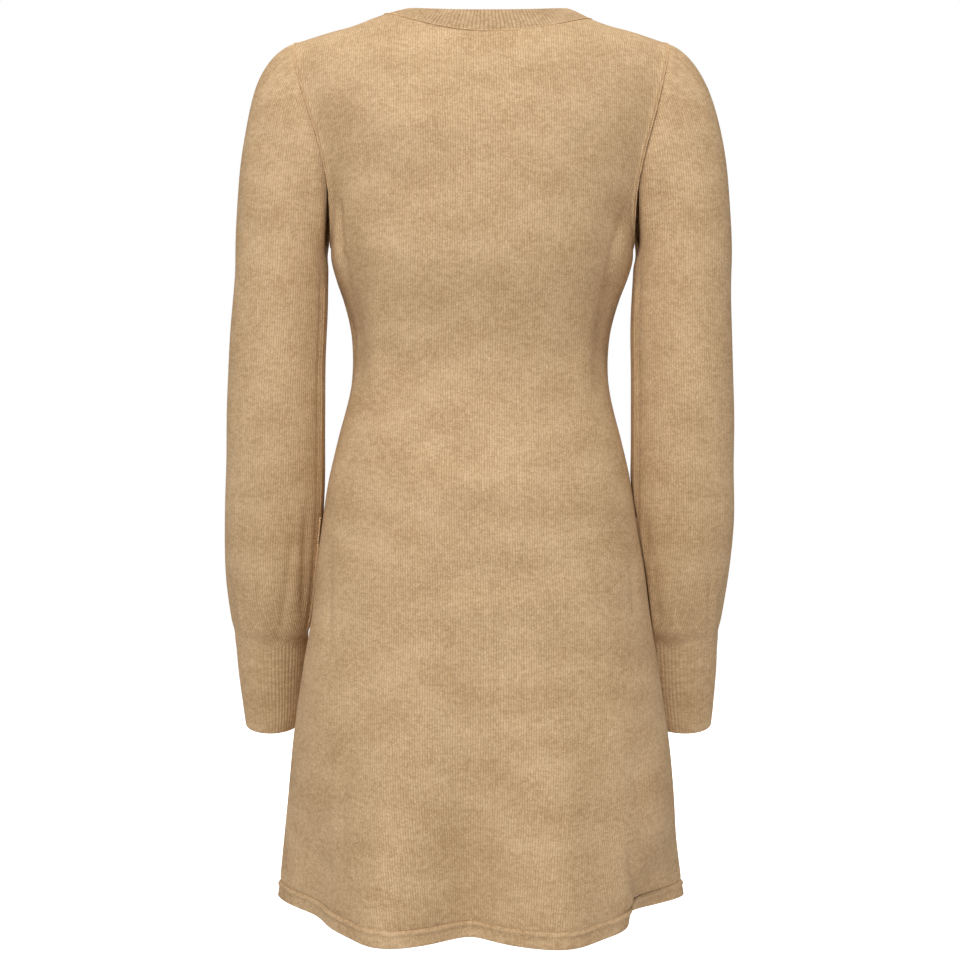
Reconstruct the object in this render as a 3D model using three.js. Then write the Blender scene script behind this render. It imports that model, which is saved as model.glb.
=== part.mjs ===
// A knitted sweater dress, hollow, in the shape it takes when it is worn.
// Millimetres, +Z up. The front faces -Y and the left sleeve is on +X.
// The origin is the middle of the neck, level with the tops of the shoulder seams.
import * as THREE from 'three';

const { lerp, smoothstep, degToRad, radToDeg } = THREE.MathUtils;

// Cloth
const CLOTH = 2.2;
const NECKBAND_CLOTH = 2.7;
const HEM_CLOTH = 2.7;
const SEAM_GAP = 0.3;

// Body and skirt: "drop" is the distance below the neck, "half" half the width between
// the armholes or side seams, "back" and "front" the depths behind and before those seams.
const BODY = [
  { drop: 0, half: 178.0, back: 88, front: 60 },
  { drop: 24, half: 172.0, back: 90, front: 66 },
  { drop: 47, half: 168.0, back: 92, front: 72 },
  { drop: 90, half: 156.5, back: 96, front: 83 },
  { drop: 128, half: 145.5, back: 100, front: 94 },
  { drop: 162, half: 138.8, back: 102, front: 104 },
  { drop: 190, half: 137.6, back: 103, front: 110 },
  { drop: 221, half: 138.5, back: 103, front: 114 },
  { drop: 240, half: 134.0, back: 101, front: 114 },
  { drop: 258, half: 127.5, back: 97, front: 112 },
  { drop: 277, half: 122.0, back: 92, front: 107 },
  { drop: 295, half: 118.7, back: 88, front: 102 },
  { drop: 322, half: 117.6, back: 85, front: 96 },
  { drop: 350, half: 120.5, back: 88, front: 94 },
  { drop: 387, half: 129.7, back: 97, front: 97 },
  { drop: 424, half: 138.0, back: 107, front: 101 },
  { drop: 461, half: 143.5, back: 114, front: 105 },
  { drop: 503, half: 149.6, back: 119, front: 109 },
  { drop: 545, half: 154.5, back: 121, front: 112 },
  { drop: 598, half: 163.0, back: 125, front: 117 },
  { drop: 663, half: 172.5, back: 131, front: 124 },
  { drop: 718, half: 177.6, back: 135, front: 129 },
  { drop: 794, half: 184.5, back: 140, front: 136 },
  { drop: 808, half: 186.5, back: 142, front: 138 },
];
const SECTION_POWER = 2.2;
const CHEST_DROP = 212;
const HEM_SEAM_DROP = 794;
const HEM_DROP = 808;
const SKIRT_ROWS = 18;
const SKIRT_ROW_POWER = 1.4;
const PANEL_COLUMNS = 32;

// Waves of the skirt: "turn" is degrees round from the middle of the back towards the
// left side, "rise" how far the cloth stands out at the hem, "from" where the wave begins.
const WAVES = [
  { turn: 29, rise: 21, spread: 12, from: 480 },
  { turn: 5, rise: -28, spread: 12, from: 540 },
  { turn: -25, rise: 20, spread: 12, from: 480 },
  { turn: -70, rise: -41, spread: 16, from: 700 },
  { turn: -93, rise: 8, spread: 7, from: 700 },
  { turn: 68, rise: -23, spread: 16, from: 560 },
  { turn: 93, rise: 4, spread: 7, from: 560 },
  { turn: 122, rise: -18, spread: 14, from: 520 },
  { turn: 150, rise: 18, spread: 13, from: 500 },
  { turn: 178, rise: -18, spread: 12, from: 540 },
  { turn: -152, rise: 20, spread: 13, from: 480 },
  { turn: -118, rise: -20, spread: 14, from: 560 },
];
const WAVE_POWER = 1.3;
const HEM_SAG = { back: 5, front: 3, from: 480 };

// Neck: the seam round the opening and the free edge of the ribbed band above it. The
// opening sits a little towards the right of the dress.
const NECK_SHIFT = -6.5;
const NECK_SEAM = { half: 95.5, backDrop: 30, frontDrop: 88 };
const NECK_EDGE = { half: 77, back: 60, front: 67, side: 8.7, backDrop: 18, frontDrop: 78.7 };
const NECK_SHARE = 0.5;
const NECK_RIBS_A_SEGMENT = 5;
const NECK_CROWN = 1;
const NECK_ROWS = [
  { along: 0, rib: 0.3, inset: 0 },
  { along: 0.45, rib: 0.4, inset: 0 },
  { along: 0.93, rib: 0.35, inset: 0.1 },
  { along: 1, rib: 0.15, inset: 0.9 },
];

// Shoulder and armhole
const SHOULDER_TOP = 94;
const SHOULDER_TIP = { half: 172, drop: 24 };
const SHOULDER_ROUND = 40;
const SHOULDER_DIP = { half: 116, deep: 1.4, spread: 15 };
const SHOULDER_ROLL = 4;
const ARMHOLE = { back: 48, front: 44, bottomHalf: 138.4, rows: 10, openTurn: 75 };
const ARMHOLE_BLEND = 3;

// Sleeve: sections along the arm. "x" and "y" are the middle, "wide" and "deep" the half
// sizes, "lean" the degrees the section tips to stay square to the arm.
const SLEEVE = [
  { drop: 235, x: 183.2, y: 6, wide: 43.8, deep: 41.0, lean: 0 },
  { drop: 290, x: 184.0, y: 8, wide: 45.0, deep: 40.0, lean: 0 },
  { drop: 350, x: 185.5, y: 9, wide: 45.7, deep: 40.0, lean: 1 },
  { drop: 424, x: 186.5, y: 4, wide: 46.2, deep: 41.0, lean: 6 },
  { drop: 475, x: 188.1, y: -5, wide: 46.1, deep: 42.0, lean: 11 },
  { drop: 515, x: 188.8, y: -16, wide: 44.2, deep: 42.0, lean: 14 },
  { drop: 545, x: 190.0, y: -26, wide: 41.0, deep: 39.5, lean: 15 },
  { drop: 568, x: 191.3, y: -33, wide: 36.5, deep: 35.0, lean: 15 },
];
const CUFF = [
  { drop: 568, x: 191.3, y: -33.0, wide: 34.8, deep: 31.5 },
  { drop: 600, x: 192.4, y: -41.6, wide: 33.2, deep: 30.5 },
  { drop: 636, x: 193.6, y: -51.2, wide: 29.8, deep: 28.0 },
  { drop: 656, x: 195.0, y: -56.6, wide: 26.8, deep: 26.5 },
];
const SLEEVE_FULLER = { left: -1.2, right: 1.0 };
const CUFF_LEAN = 15;
const CUFF_RIBS = 60;
const CUFF_RIB = 0.4;
const SLEEVE_RINGS = [262, 290, 320, 350, 385, 420, 450, 475, 495, 515, 531, 545, 557, 568];
const SLEEVE_COLUMNS = 2 * ARMHOLE.rows;
const CAP_ROWS = 6;
const CAP = { reach: 38, reachShare: 0.33, hang: 0.64 };

// Below this level a sleeve that would meet the skirt lies flat against it, just clear.
const LIES_ON_SKIRT = { from: 400, clear: 1.2 };

// Hollows where the lower sleeve is gathered on to the cuff; "round" is degrees from the
// underarm side over the back.
const GATHERS = {
  left: [
    { round: 150, rise: -3.0, spread: 15, from: 455 },
    { round: 75, rise: -1.8, spread: 14, from: 500 },
    { round: -70, rise: -2.6, spread: 16, from: 480 },
    { round: -140, rise: -2.0, spread: 14, from: 505 },
  ],
  right: [
    { round: 100, rise: -3.0, spread: 15, from: 465 },
    { round: 160, rise: -2.0, spread: 13, from: 500 },
    { round: -60, rise: -2.2, spread: 15, from: 490 },
    { round: -125, rise: -2.6, spread: 15, from: 475 },
  ],
};

// The dress leans a little to one side: how far each level is moved along X.
const SWAY = [
  { drop: 20, body: -0.8, sleeve: -0.8 },
  { drop: 60, body: -1.0, sleeve: -1.0 },
  { drop: 120, body: -2.6, sleeve: -2.6 },
  { drop: 221, body: -2.0, sleeve: -2.0 },
  { drop: 258, body: -1.2, sleeve: -0.9 },
  { drop: 340, body: 0, sleeve: 0.8 },
  { drop: 450, body: 0.5, sleeve: 1.4 },
  { drop: 517, body: -0.5, sleeve: 4.3 },
  { drop: 560, body: -0.9, sleeve: 4.5 },
  { drop: 610, body: -0.6, sleeve: 3.8 },
  { drop: 660, body: -0.6, sleeve: 2.5 },
  { drop: 830, body: -0.8, sleeve: 2.5 },
];

// Value of one column of a table at any level, on a smooth curve through its rows.
function valueAt(table, column, drop) {
  const last = table.length - 1;
  const rowAfter = table.findIndex((row) => row.drop >= drop);
  const next = rowAfter < 0 ? last : Math.max(rowAfter, 1);
  const slopeAt = (i) => {
    const below = table[Math.max(i - 1, 0)];
    const above = table[Math.min(i + 1, last)];
    return (above[column] - below[column]) / (above.drop - below.drop);
  };
  const from = table[next - 1];
  const to = table[next];
  const span = to.drop - from.drop;
  const t = THREE.MathUtils.clamp((drop - from.drop) / span, 0, 1);
  const bend = t * t * (3 - 2 * t);
  const leave = t * (1 - t) * (1 - t) * slopeAt(next - 1) * span;
  const arrive = t * t * (t - 1) * slopeAt(next) * span;
  return lerp(from[column], to[column], bend) + leave + arrive;
}

function swayed(point, part) {
  point.x += valueAt(SWAY, part, -point.z);
  return point;
}

const bell = (degrees, middle, spread) => {
  const away = THREE.MathUtils.euclideanModulo(degrees - middle + 180, 360) - 180;
  return Math.exp(-((away / spread) ** 2));
};

// Body and skirt outside at a level; "across" runs from -1 to 1 between the side seams
// and "face" is 1 behind, -1 in front.
function bodyPoint(face, across, drop) {
  const side = face > 0 ? 'back' : 'front';
  const angle = (across * Math.PI) / 2;
  const power = 2 / SECTION_POWER;
  const x = valueAt(BODY, 'half', drop) * Math.sign(across) * Math.abs(Math.sin(angle)) ** power;
  const y = face * valueAt(BODY, side, drop) * Math.abs(Math.cos(angle)) ** power;
  const turn = radToDeg(Math.atan2(x, y));
  let out = 0;
  for (const wave of WAVES) {
    const grown = smoothstep(drop, wave.from, HEM_DROP + 60) ** WAVE_POWER;
    const full = smoothstep(HEM_DROP, wave.from, HEM_DROP + 60) ** WAVE_POWER;
    out += (wave.rise * bell(turn, wave.turn, wave.spread) * grown) / full;
  }
  const scale = 1 + out / Math.hypot(x, y);
  const sag = HEM_SAG[side] * Math.cos(angle) ** 2 * smoothstep(drop, HEM_SAG.from, HEM_DROP);
  return new THREE.Vector3(x * scale, y * scale, -drop - sag);
}

// Height of the shoulder line above the origin at any distance from the middle.
function shoulderLine(x) {
  const reach = (half) => Math.hypot(half, SHOULDER_ROUND);
  const fall = (reach(x) - reach(SHOULDER_TOP)) / (reach(SHOULDER_TIP.half) - reach(SHOULDER_TOP));
  const dip = Math.exp(-(((Math.abs(x) - SHOULDER_DIP.half) / SHOULDER_DIP.spread) ** 2));
  return -SHOULDER_TIP.drop * fall - SHOULDER_DIP.deep * dip;
}

// How far the cloth has rolled over towards the shoulder line, from 1 down to 0.
function shoulderRoll(x, z) {
  const share = (z + CHEST_DROP) / (shoulderLine(x) + CHEST_DROP);
  return Math.sqrt(1 - THREE.MathUtils.clamp(share, 0, 1) ** SHOULDER_ROLL);
}

// Depth of the upper body behind or before the shoulder line, at a place on the body.
function yokeDepth(side, x, z) {
  const up = THREE.MathUtils.clamp((z + CHEST_DROP) / (CHEST_DROP - SHOULDER_TIP.drop), 0, 0.999);
  const edgeZ = lerp(-CHEST_DROP, -SHOULDER_TIP.drop, up);
  const half = valueAt(BODY, 'half', -edgeZ);
  const edge = (2 * ARMHOLE[side] * Math.sqrt(up * (1 - up))) / shoulderRoll(half, edgeZ);
  const share = Math.min(Math.abs(x) / half, 1);
  const round = valueAt(BODY, side, -z) * (1 - share ** SECTION_POWER) ** (1 / SECTION_POWER);
  const depth = (round ** ARMHOLE_BLEND + (edge * share) ** ARMHOLE_BLEND) ** (1 / ARMHOLE_BLEND);
  return depth * shoulderRoll(x, z);
}

// Points round the neck, from the middle of the back towards the left.
function neckSeam(theta) {
  const [across, ahead] = [Math.sin(theta), Math.cos(theta)];
  const side = ahead > 0 ? 'back' : 'front';
  const end = shoulderLine(NECK_SHIFT + Math.sign(across) * NECK_SEAM.half);
  const x = NECK_SHIFT + NECK_SEAM.half * across;
  const z = end * across ** 2 - NECK_SEAM[`${side}Drop`] * ahead ** 2;
  return new THREE.Vector3(x, Math.sign(ahead) * yokeDepth(side, x, z), z);
}

function neckEdge(theta) {
  const ahead = Math.cos(theta);
  const side = ahead > 0 ? 'back' : 'front';
  const x = NECK_SHIFT + NECK_EDGE.half * Math.sin(theta);
  return new THREE.Vector3(
    x, ahead * NECK_EDGE[side], NECK_EDGE.side - ahead ** 2 * NECK_EDGE[`${side}Drop`],
  );
}

// Directions at the neck seam: "rise" up the band and "out" square to the cloth.
function neckFrame(theta) {
  const step = 0.01;
  const along = neckSeam(theta + step).sub(neckSeam(theta - step));
  const rise = neckEdge(theta).sub(neckSeam(theta)).normalize();
  const out = new THREE.Vector3().crossVectors(rise, along).normalize();
  return { rise, out };
}

const neckTurn = (face, across) => {
  const turn = (across / NECK_SHARE) * (Math.PI / 2);
  return face > 0 ? turn : Math.PI - turn;
};

// Upper body from the chest to the neck and shoulder seams; "up" runs from 0 to 1.
function yokePoint(face, across, up) {
  const outer = Math.abs(across);
  const top = new THREE.Vector3();
  if (outer <= NECK_SHARE) {
    top.copy(neckSeam(neckTurn(face, across)));
  } else {
    const along = (outer - NECK_SHARE) / (1 - NECK_SHARE);
    const corner = NECK_SHIFT + Math.sign(across) * NECK_SEAM.half;
    top.x = lerp(corner, Math.sign(across) * SHOULDER_TIP.half, along);
    top.z = shoulderLine(top.x);
  }
  const low = bodyPoint(face, across, CHEST_DROP);
  const z = lerp(low.z, top.z, up);
  const lowShare = low.x / valueAt(BODY, 'half', CHEST_DROP);
  const topShare = top.x / valueAt(BODY, 'half', -top.z);
  const x = valueAt(BODY, 'half', -z) * lerp(lowShare, topShare, up);
  return new THREE.Vector3(x, face * yokeDepth(face > 0 ? 'back' : 'front', x, z), z);
}

// Armhole seam; "turn" is 0 at the underarm and half a turn at the shoulder.
const ARMHOLE_UP = new THREE.Vector3(
  SHOULDER_TIP.half - ARMHOLE.bottomHalf, 0, CHEST_DROP - SHOULDER_TIP.drop,
).normalize();
const ARMHOLE_OUT = new THREE.Vector3(ARMHOLE_UP.z, 0, -ARMHOLE_UP.x);

function armholePoint(turn) {
  const drop = lerp(CHEST_DROP, SHOULDER_TIP.drop, (1 - Math.cos(turn)) / 2);
  const reach = turn > 0 ? ARMHOLE.back : ARMHOLE.front;
  return new THREE.Vector3(valueAt(BODY, 'half', drop), reach * Math.sin(turn), -drop);
}

// Direction square to the cloth at the armhole, on the body (towards 1) or the sleeve (-1).
function armholeOut(turn, towards) {
  const tall = (CHEST_DROP - SHOULDER_TIP.drop) / 2;
  const reach = turn > 0 ? ARMHOLE.back : ARMHOLE.front;
  const round = ARMHOLE_UP.clone().multiplyScalar(-Math.cos(turn) * reach);
  round.y += Math.sin(turn) * tall;
  round.normalize();
  const open = degToRad(ARMHOLE.openTurn) * ((1 + Math.cos(turn)) / 2);
  return round.multiplyScalar(Math.cos(open)).addScaledVector(ARMHOLE_OUT, towards * Math.sin(open));
}

const armholeTurn = (row) => (row * Math.PI) / ARMHOLE.rows;

// Directions square to a grid of points, from the neighbours of each point.
function outwards(grid, closed) {
  const rows = grid.length;
  const columns = grid[0].length;
  return grid.map((row, r) => row.map((point, c) => {
    const before = closed ? (c + columns - 1) % columns : Math.max(c - 1, 0);
    const after = closed ? (c + 1) % columns : Math.min(c + 1, columns - 1);
    const across = row[after].clone().sub(row[before]);
    const along = grid[Math.min(r + 1, rows - 1)][c].clone().sub(grid[Math.max(r - 1, 0)][c]);
    return across.cross(along).normalize();
  }));
}

const flattened = (vector, axis) => {
  vector[axis] = 0;
  return vector.normalize();
};

function offset(grid, normals, distance) {
  return grid.map((row, r) => row.map((point, c) => (
    point.clone().addScaledVector(normals[r][c], -distance)
  )));
}

// Keeps a point on its own side of the side and shoulder seams.
const keptBehind = (face, point) => {
  point.y = face * Math.max(face * point.y, SEAM_GAP / 2);
  return point;
};

// Triangles between two rows of a rim when the outer row may have more points.
function rimFaces(outerRow, innerRow, closed) {
  const faces = [];
  const segments = closed ? innerRow.length : innerRow.length - 1;
  const share = (closed ? outerRow.length : outerRow.length - 1) / segments;
  const middle = Math.floor(share / 2);
  for (let j = 0; j < segments; j += 1) {
    const near = innerRow[j];
    const far = innerRow[(j + 1) % innerRow.length];
    const at = (k) => outerRow[(j * share + k) % outerRow.length];
    for (let k = 0; k < share; k += 1) {
      faces.push([at(k + 1), at(k), k < middle ? near : far]);
    }
    faces.push([at(middle), near, far]);
  }
  return faces;
}

function gridFaces(rows, closed) {
  const faces = [];
  const columns = rows[0].length;
  for (let r = 0; r < rows.length - 1; r += 1) {
    for (let c = 0; c < (closed ? columns : columns - 1); c += 1) {
      const next = (c + 1) % columns;
      faces.push([rows[r][c], rows[r][next], rows[r + 1][next]]);
      faces.push([rows[r][c], rows[r + 1][next], rows[r + 1][c]]);
    }
  }
  return faces;
}

const flipped = (faces) => faces.map(([a, b, c]) => [a, c, b]);

function volumeOf(points, faces) {
  const corner = new THREE.Vector3();
  return faces.reduce((sum, [a, b, c]) => (
    sum + corner.crossVectors(points[a], points[b]).dot(points[c])
  ), 0);
}

// A closed wall of cloth between an outer and an inner grid of points.
function clothWall(name, outer, inner, closed, material) {
  const points = [];
  const numbered = (grid) => grid.map((row) => row.map((point) => points.push(point) - 1));
  const out = numbered(outer);
  const inn = numbered(inner);
  const faces = [
    ...gridFaces(out, closed),
    ...flipped(gridFaces(inn, closed)),
    ...rimFaces(out[0], inn[0], closed),
    ...flipped(rimFaces(out.at(-1), inn.at(-1), closed)),
  ];
  if (!closed) {
    const outerStart = out.map((row) => row[0]);
    const innerStart = inn.map((row) => row[0]);
    const outerEnd = out.map((row) => row.at(-1));
    const innerEnd = inn.map((row) => row.at(-1));
    faces.push(...flipped(rimFaces(outerStart, innerStart, false)));
    faces.push(...rimFaces(outerEnd, innerEnd, false));
  }
  const facing = volumeOf(points, faces) > 0 ? faces : flipped(faces);
  const geometry = new THREE.BufferGeometry();
  geometry.setAttribute(
    'position',
    new THREE.Float32BufferAttribute(points.flatMap((point) => point.toArray()), 3),
  );
  geometry.setIndex(facing.flat());
  geometry.computeVertexNormals();
  const mesh = new THREE.Mesh(geometry, material);
  mesh.name = name;
  return mesh;
}

const steps = (count) => Array.from({ length: count + 1 }, (_, i) => i / count);

// Front or back of the dress, from the hem seam up to the neck and shoulder seams.
function panel(name, face, material) {
  const columns = steps(PANEL_COLUMNS).map((share) => 2 * share - 1);
  const drops = steps(SKIRT_ROWS).map((share) => (
    lerp(CHEST_DROP, HEM_SEAM_DROP, (1 - share) ** SKIRT_ROW_POWER)
  ));
  const skirt = drops.map((drop) => columns.map((across) => bodyPoint(face, across, drop)));
  const turns = Array.from({ length: ARMHOLE.rows }, (_, row) => armholeTurn(row + 1));
  const yoke = turns.map((turn) => (
    columns.map((across) => yokePoint(face, across, (1 - Math.cos(turn)) / 2))
  ));
  const outer = [...skirt, ...yoke];
  const top = outer.at(-1);
  const underarm = SKIRT_ROWS;

  columns.forEach((across, c) => {
    if (Math.abs(across) <= NECK_SHARE) {
      top[c].addScaledVector(neckFrame(neckTurn(face, across)).rise, -SEAM_GAP / 2);
    }
  });
  for (let r = underarm; r < outer.length; r += 1) {
    for (const c of [0, PANEL_COLUMNS]) {
      const outSide = ARMHOLE_OUT.clone();
      outSide.x *= columns[c];
      outer[r][c].addScaledVector(outSide, -SEAM_GAP / 2);
    }
  }
  outer.flat().forEach((point) => keptBehind(face, point));

  const normals = outwards(outer, false).map((row) => row.map((v) => v.multiplyScalar(-face)));
  normals[0].forEach((normal) => flattened(normal, 'z'));
  columns.forEach((across, c) => {
    const last = normals.length - 1;
    if (Math.abs(across) <= NECK_SHARE) {
      normals[last][c] = neckFrame(neckTurn(face, across)).out;
    } else {
      flattened(normals[last][c], 'y');
    }
  });
  for (let r = 0; r < outer.length; r += 1) {
    for (const c of [0, PANEL_COLUMNS]) {
      if (r < underarm) {
        flattened(normals[r][c], 'y');
      } else {
        const turn = face * armholeTurn(r - underarm);
        normals[r][c] = armholeOut(turn, 1);
        normals[r][c].x *= columns[c];
      }
    }
  }
  const inner = offset(outer, normals, CLOTH);
  inner.flat().forEach((point) => keptBehind(face, point));
  [outer, inner].forEach((grid) => grid.flat().forEach((point) => swayed(point, 'body')));
  return clothWall(name, outer, inner, false, material);
}

// Ribbed edge below the front or back panel.
function hemBand(name, face, material) {
  const columns = steps(PANEL_COLUMNS).map((share) => 2 * share - 1);
  const rows = [
    { drop: HEM_SEAM_DROP, proud: 0.3 },
    { drop: HEM_SEAM_DROP + 1.5, proud: 0.8 },
    { drop: HEM_DROP - 1, proud: 0.7 },
    { drop: HEM_DROP, proud: 0 },
  ];
  const line = rows.map(({ drop }) => columns.map((across) => (
    keptBehind(face, bodyPoint(face, across, drop))
  )));
  line[0].forEach((point) => { point.z -= SEAM_GAP; });
  const normals = outwards(line, false).map((row) => row.map((normal, c) => {
    if (c === 0 || c === PANEL_COLUMNS) {
      flattened(normal, 'y');
    }
    return flattened(normal.multiplyScalar(face), 'z');
  }));
  const outer = line.map((row, r) => row.map((point, c) => (
    keptBehind(face, point.clone().addScaledVector(normals[r][c], rows[r].proud))
  )));
  const inner = offset(line, normals, HEM_CLOTH - rows[1].proud);
  inner.flat().forEach((point) => keptBehind(face, point));
  [outer, inner].forEach((grid) => grid.flat().forEach((point) => swayed(point, 'body')));
  return clothWall(name, outer, inner, false, material);
}

// Ribbed band round the neck. Its lower edge follows the same short straight lines as the
// upper edges of the front and back panels.
function neckband(name, material) {
  const segments = 2 * PANEL_COLUMNS * NECK_SHARE;
  const corners = Array.from({ length: segments }, (_, k) => {
    const theta = (2 * Math.PI * k) / segments;
    const { rise, out } = neckFrame(theta);
    const seam = neckSeam(theta).addScaledVector(rise, SEAM_GAP / 2);
    return { seam, edge: neckEdge(theta), out };
  });
  const at = (place, along) => {
    const k = Math.floor(place);
    const [a, b] = [corners[k % segments], corners[(k + 1) % segments]];
    const part = place - k;
    const seam = a.seam.clone().lerp(b.seam, part);
    const edge = a.edge.clone().lerp(b.edge, part);
    const out = a.out.clone().lerp(b.out, part).normalize();
    const crown = 4 * NECK_CROWN * along * (1 - along);
    return { point: seam.lerp(edge, along).addScaledVector(out, crown), out };
  };
  const count = 2 * NECK_RIBS_A_SEGMENT * segments;
  const outer = NECK_ROWS.map(({ along, rib, inset }) => (
    Array.from({ length: count }, (_, j) => {
      const { point, out } = at((j * segments) / count, along);
      return point.addScaledVector(out, (j % 2 ? rib : -rib) - inset);
    })
  ));
  const inner = [0, 0.97].map((along) => corners.map((_, k) => {
    const { point, out } = at(k, along);
    return point.addScaledVector(out, -NECKBAND_CLOTH);
  }));
  [outer, inner].forEach((grid) => grid.flat().forEach((point) => swayed(point, 'body')));
  return clothWall(name, outer, inner, true, material);
}

// Point of a sleeve or cuff section; "turn" is 0 on the underarm side, a quarter behind.
function sectionPoint({ x, y, wide, deep, lean, drop }, turn) {
  const behind = deep * Math.sin(turn);
  return new THREE.Vector3(
    x - wide * Math.cos(turn),
    y + behind * Math.cos(degToRad(lean)),
    -drop - behind * Math.sin(degToRad(lean)),
  );
}

function sectionAt(table, drop, lean) {
  const read = (column) => valueAt(table, column, drop);
  return {
    drop,
    x: read('x'),
    y: read('y'),
    wide: read('wide'),
    deep: read('deep'),
    lean: lean ?? read('lean'),
  };
}

function sleevePoint(turn, drop, { gathers, fuller }) {
  const section = sectionAt(SLEEVE, drop);
  let out = 0;
  for (const fold of gathers) {
    out += fold.rise * bell(radToDeg(turn), fold.round, fold.spread)
      * smoothstep(drop, fold.from, SLEEVE.at(-1).drop);
  }
  section.wide += out + fuller;
  section.deep += out;
  return sectionPoint(section, turn);
}

// Sleeve head: a curve from the armhole seam round to the first section of the sleeve.
function capPoint(turn, share, cut) {
  const start = armholePoint(turn).addScaledVector(ARMHOLE_OUT, SEAM_GAP / 2);
  const end = sleevePoint(turn, SLEEVE[0].drop, cut);
  const over = (1 - Math.cos(turn)) / 2;
  const heading = new THREE.Vector3(lerp(0.25, 0.94, over), 0, -lerp(0.97, 0.33, over)).normalize();
  const reach = Math.min(CAP.reachShare * start.distanceTo(end), CAP.reach);
  const leave = start.clone().addScaledVector(heading, reach);
  const hang = end.clone();
  hang.z += CAP.hang * (start.z - end.z);
  return new THREE.CubicBezierCurve3(start, leave, hang, end).getPoint(share);
}

const SLEEVE_TURNS = Array.from({ length: SLEEVE_COLUMNS }, (_, c) => (
  armholeTurn(c - ARMHOLE.rows + 1)
));

// Puts a left-hand grid of points on its own side of the dress.
function placed(grid, side) {
  grid.flat().forEach((point) => {
    point.x *= side;
    swayed(point, 'sleeve');
  });
  return grid;
}

// Holds a left-hand point of a sleeve or cuff just outside the skirt beside it.
function clearOfSkirt(point, side) {
  const drop = -point.z;
  if (drop < LIES_ON_SKIRT.from) {
    return;
  }
  const depth = valueAt(BODY, point.y > 0 ? 'back' : 'front', drop);
  const share = Math.min(Math.abs(point.y) / depth, 1);
  const skirt = valueAt(BODY, 'half', drop) * (1 - share ** SECTION_POWER) ** (1 / SECTION_POWER);
  const lean = side * (valueAt(SWAY, 'body', drop) - valueAt(SWAY, 'sleeve', drop));
  point.x = Math.max(point.x, skirt + lean + LIES_ON_SKIRT.clear);
}

const CUFF_SQUARE = new THREE.Vector3(
  0, -Math.sin(degToRad(CUFF_LEAN)), -Math.cos(degToRad(CUFF_LEAN)),
);

function sleeve(name, side, material) {
  const hand = side > 0 ? 'left' : 'right';
  const cut = { gathers: GATHERS[hand], fuller: SLEEVE_FULLER[hand] };
  const cap = steps(CAP_ROWS).map((share) => (
    SLEEVE_TURNS.map((turn) => capPoint(turn, share, cut))
  ));
  const arm = SLEEVE_RINGS.map((drop) => (
    SLEEVE_TURNS.map((turn) => sleevePoint(turn, drop, cut))
  ));
  const outer = [...cap, ...arm];
  outer.flat().forEach((point) => clearOfSkirt(point, side));
  const normals = outwards(outer, true);
  SLEEVE_TURNS.forEach((turn, c) => {
    normals[0][c] = armholeOut(turn, -1);
    normals.at(-1)[c].projectOnPlane(CUFF_SQUARE).normalize();
  });
  const inner = offset(outer, normals, CLOTH);
  return clothWall(name, placed(outer, side), placed(inner, side), true, material);
}

// Ribbed cuff, from the end of the sleeve to the wrist.
function cuff(name, side, material) {
  const ring = (section, count, grow, lower) => Array.from({ length: count }, (_, j) => {
    const out = grow(j);
    const wide = section.wide + out + SLEEVE_FULLER[side > 0 ? 'left' : 'right'];
    const sized = { ...section, wide, deep: section.deep + out, lean: CUFF_LEAN };
    const point = sectionPoint(sized, (2 * Math.PI * j) / count);
    return point.addScaledVector(CUFF_SQUARE, lower);
  });
  const seam = (row) => (row === 0 ? SEAM_GAP : 0);
  const outer = CUFF.map((section, row) => (
    ring(section, 2 * CUFF_RIBS, (j) => (j % 2 ? CUFF_RIB : -CUFF_RIB), seam(row))
  ));
  const inner = CUFF.map((section, row) => ring(section, SLEEVE_COLUMNS, () => -CLOTH, seam(row)));
  outer.flat().forEach((point) => clearOfSkirt(point, side));
  return clothWall(name, placed(outer, side), placed(inner, side), true, material);
}

const knit = new THREE.MeshStandardMaterial({ color: 0xc4a27d, roughness: 0.95 });
const rib = new THREE.MeshStandardMaterial({ color: 0xb28f6b, roughness: 0.95 });
const dress = new THREE.Group();
dress.name = 'sweater_dress';
dress.add(
  panel('back_panel', 1, knit),
  panel('front_panel', -1, knit),
  sleeve('sleeve_left', 1, knit),
  sleeve('sleeve_right', -1, knit),
  cuff('cuff_left', 1, rib),
  cuff('cuff_right', -1, rib),
  neckband('neckband', rib),
  hemBand('hem_band_back', 1, rib),
  hemBand('hem_band_front', -1, rib),
);

export default dress;
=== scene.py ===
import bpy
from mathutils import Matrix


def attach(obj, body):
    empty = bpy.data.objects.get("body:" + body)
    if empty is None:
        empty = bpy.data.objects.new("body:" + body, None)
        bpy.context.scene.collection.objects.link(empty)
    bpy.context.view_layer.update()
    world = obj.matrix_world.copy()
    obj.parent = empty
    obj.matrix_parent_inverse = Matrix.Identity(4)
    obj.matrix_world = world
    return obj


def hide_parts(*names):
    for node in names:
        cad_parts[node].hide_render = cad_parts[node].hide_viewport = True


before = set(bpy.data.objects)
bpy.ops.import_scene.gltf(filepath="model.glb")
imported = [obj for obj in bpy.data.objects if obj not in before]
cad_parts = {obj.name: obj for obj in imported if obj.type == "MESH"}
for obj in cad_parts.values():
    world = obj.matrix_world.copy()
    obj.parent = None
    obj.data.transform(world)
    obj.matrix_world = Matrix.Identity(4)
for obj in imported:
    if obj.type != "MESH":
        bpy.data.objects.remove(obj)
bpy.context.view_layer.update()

import math

import bmesh
import bpy
import numpy as np
from mathutils import Vector

bl_info = {
    "name": "Knitted Sweater Dress",
    "version": (1, 0, 0),
    "blender": (4, 5, 0),
    "location": "View3D > Sidebar > Dress",
    "description": "Builds a hollow knitted sweater dress with ribbed bands, seams and folds",
    "category": "Add Mesh",
}

MM = 0.001


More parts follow.
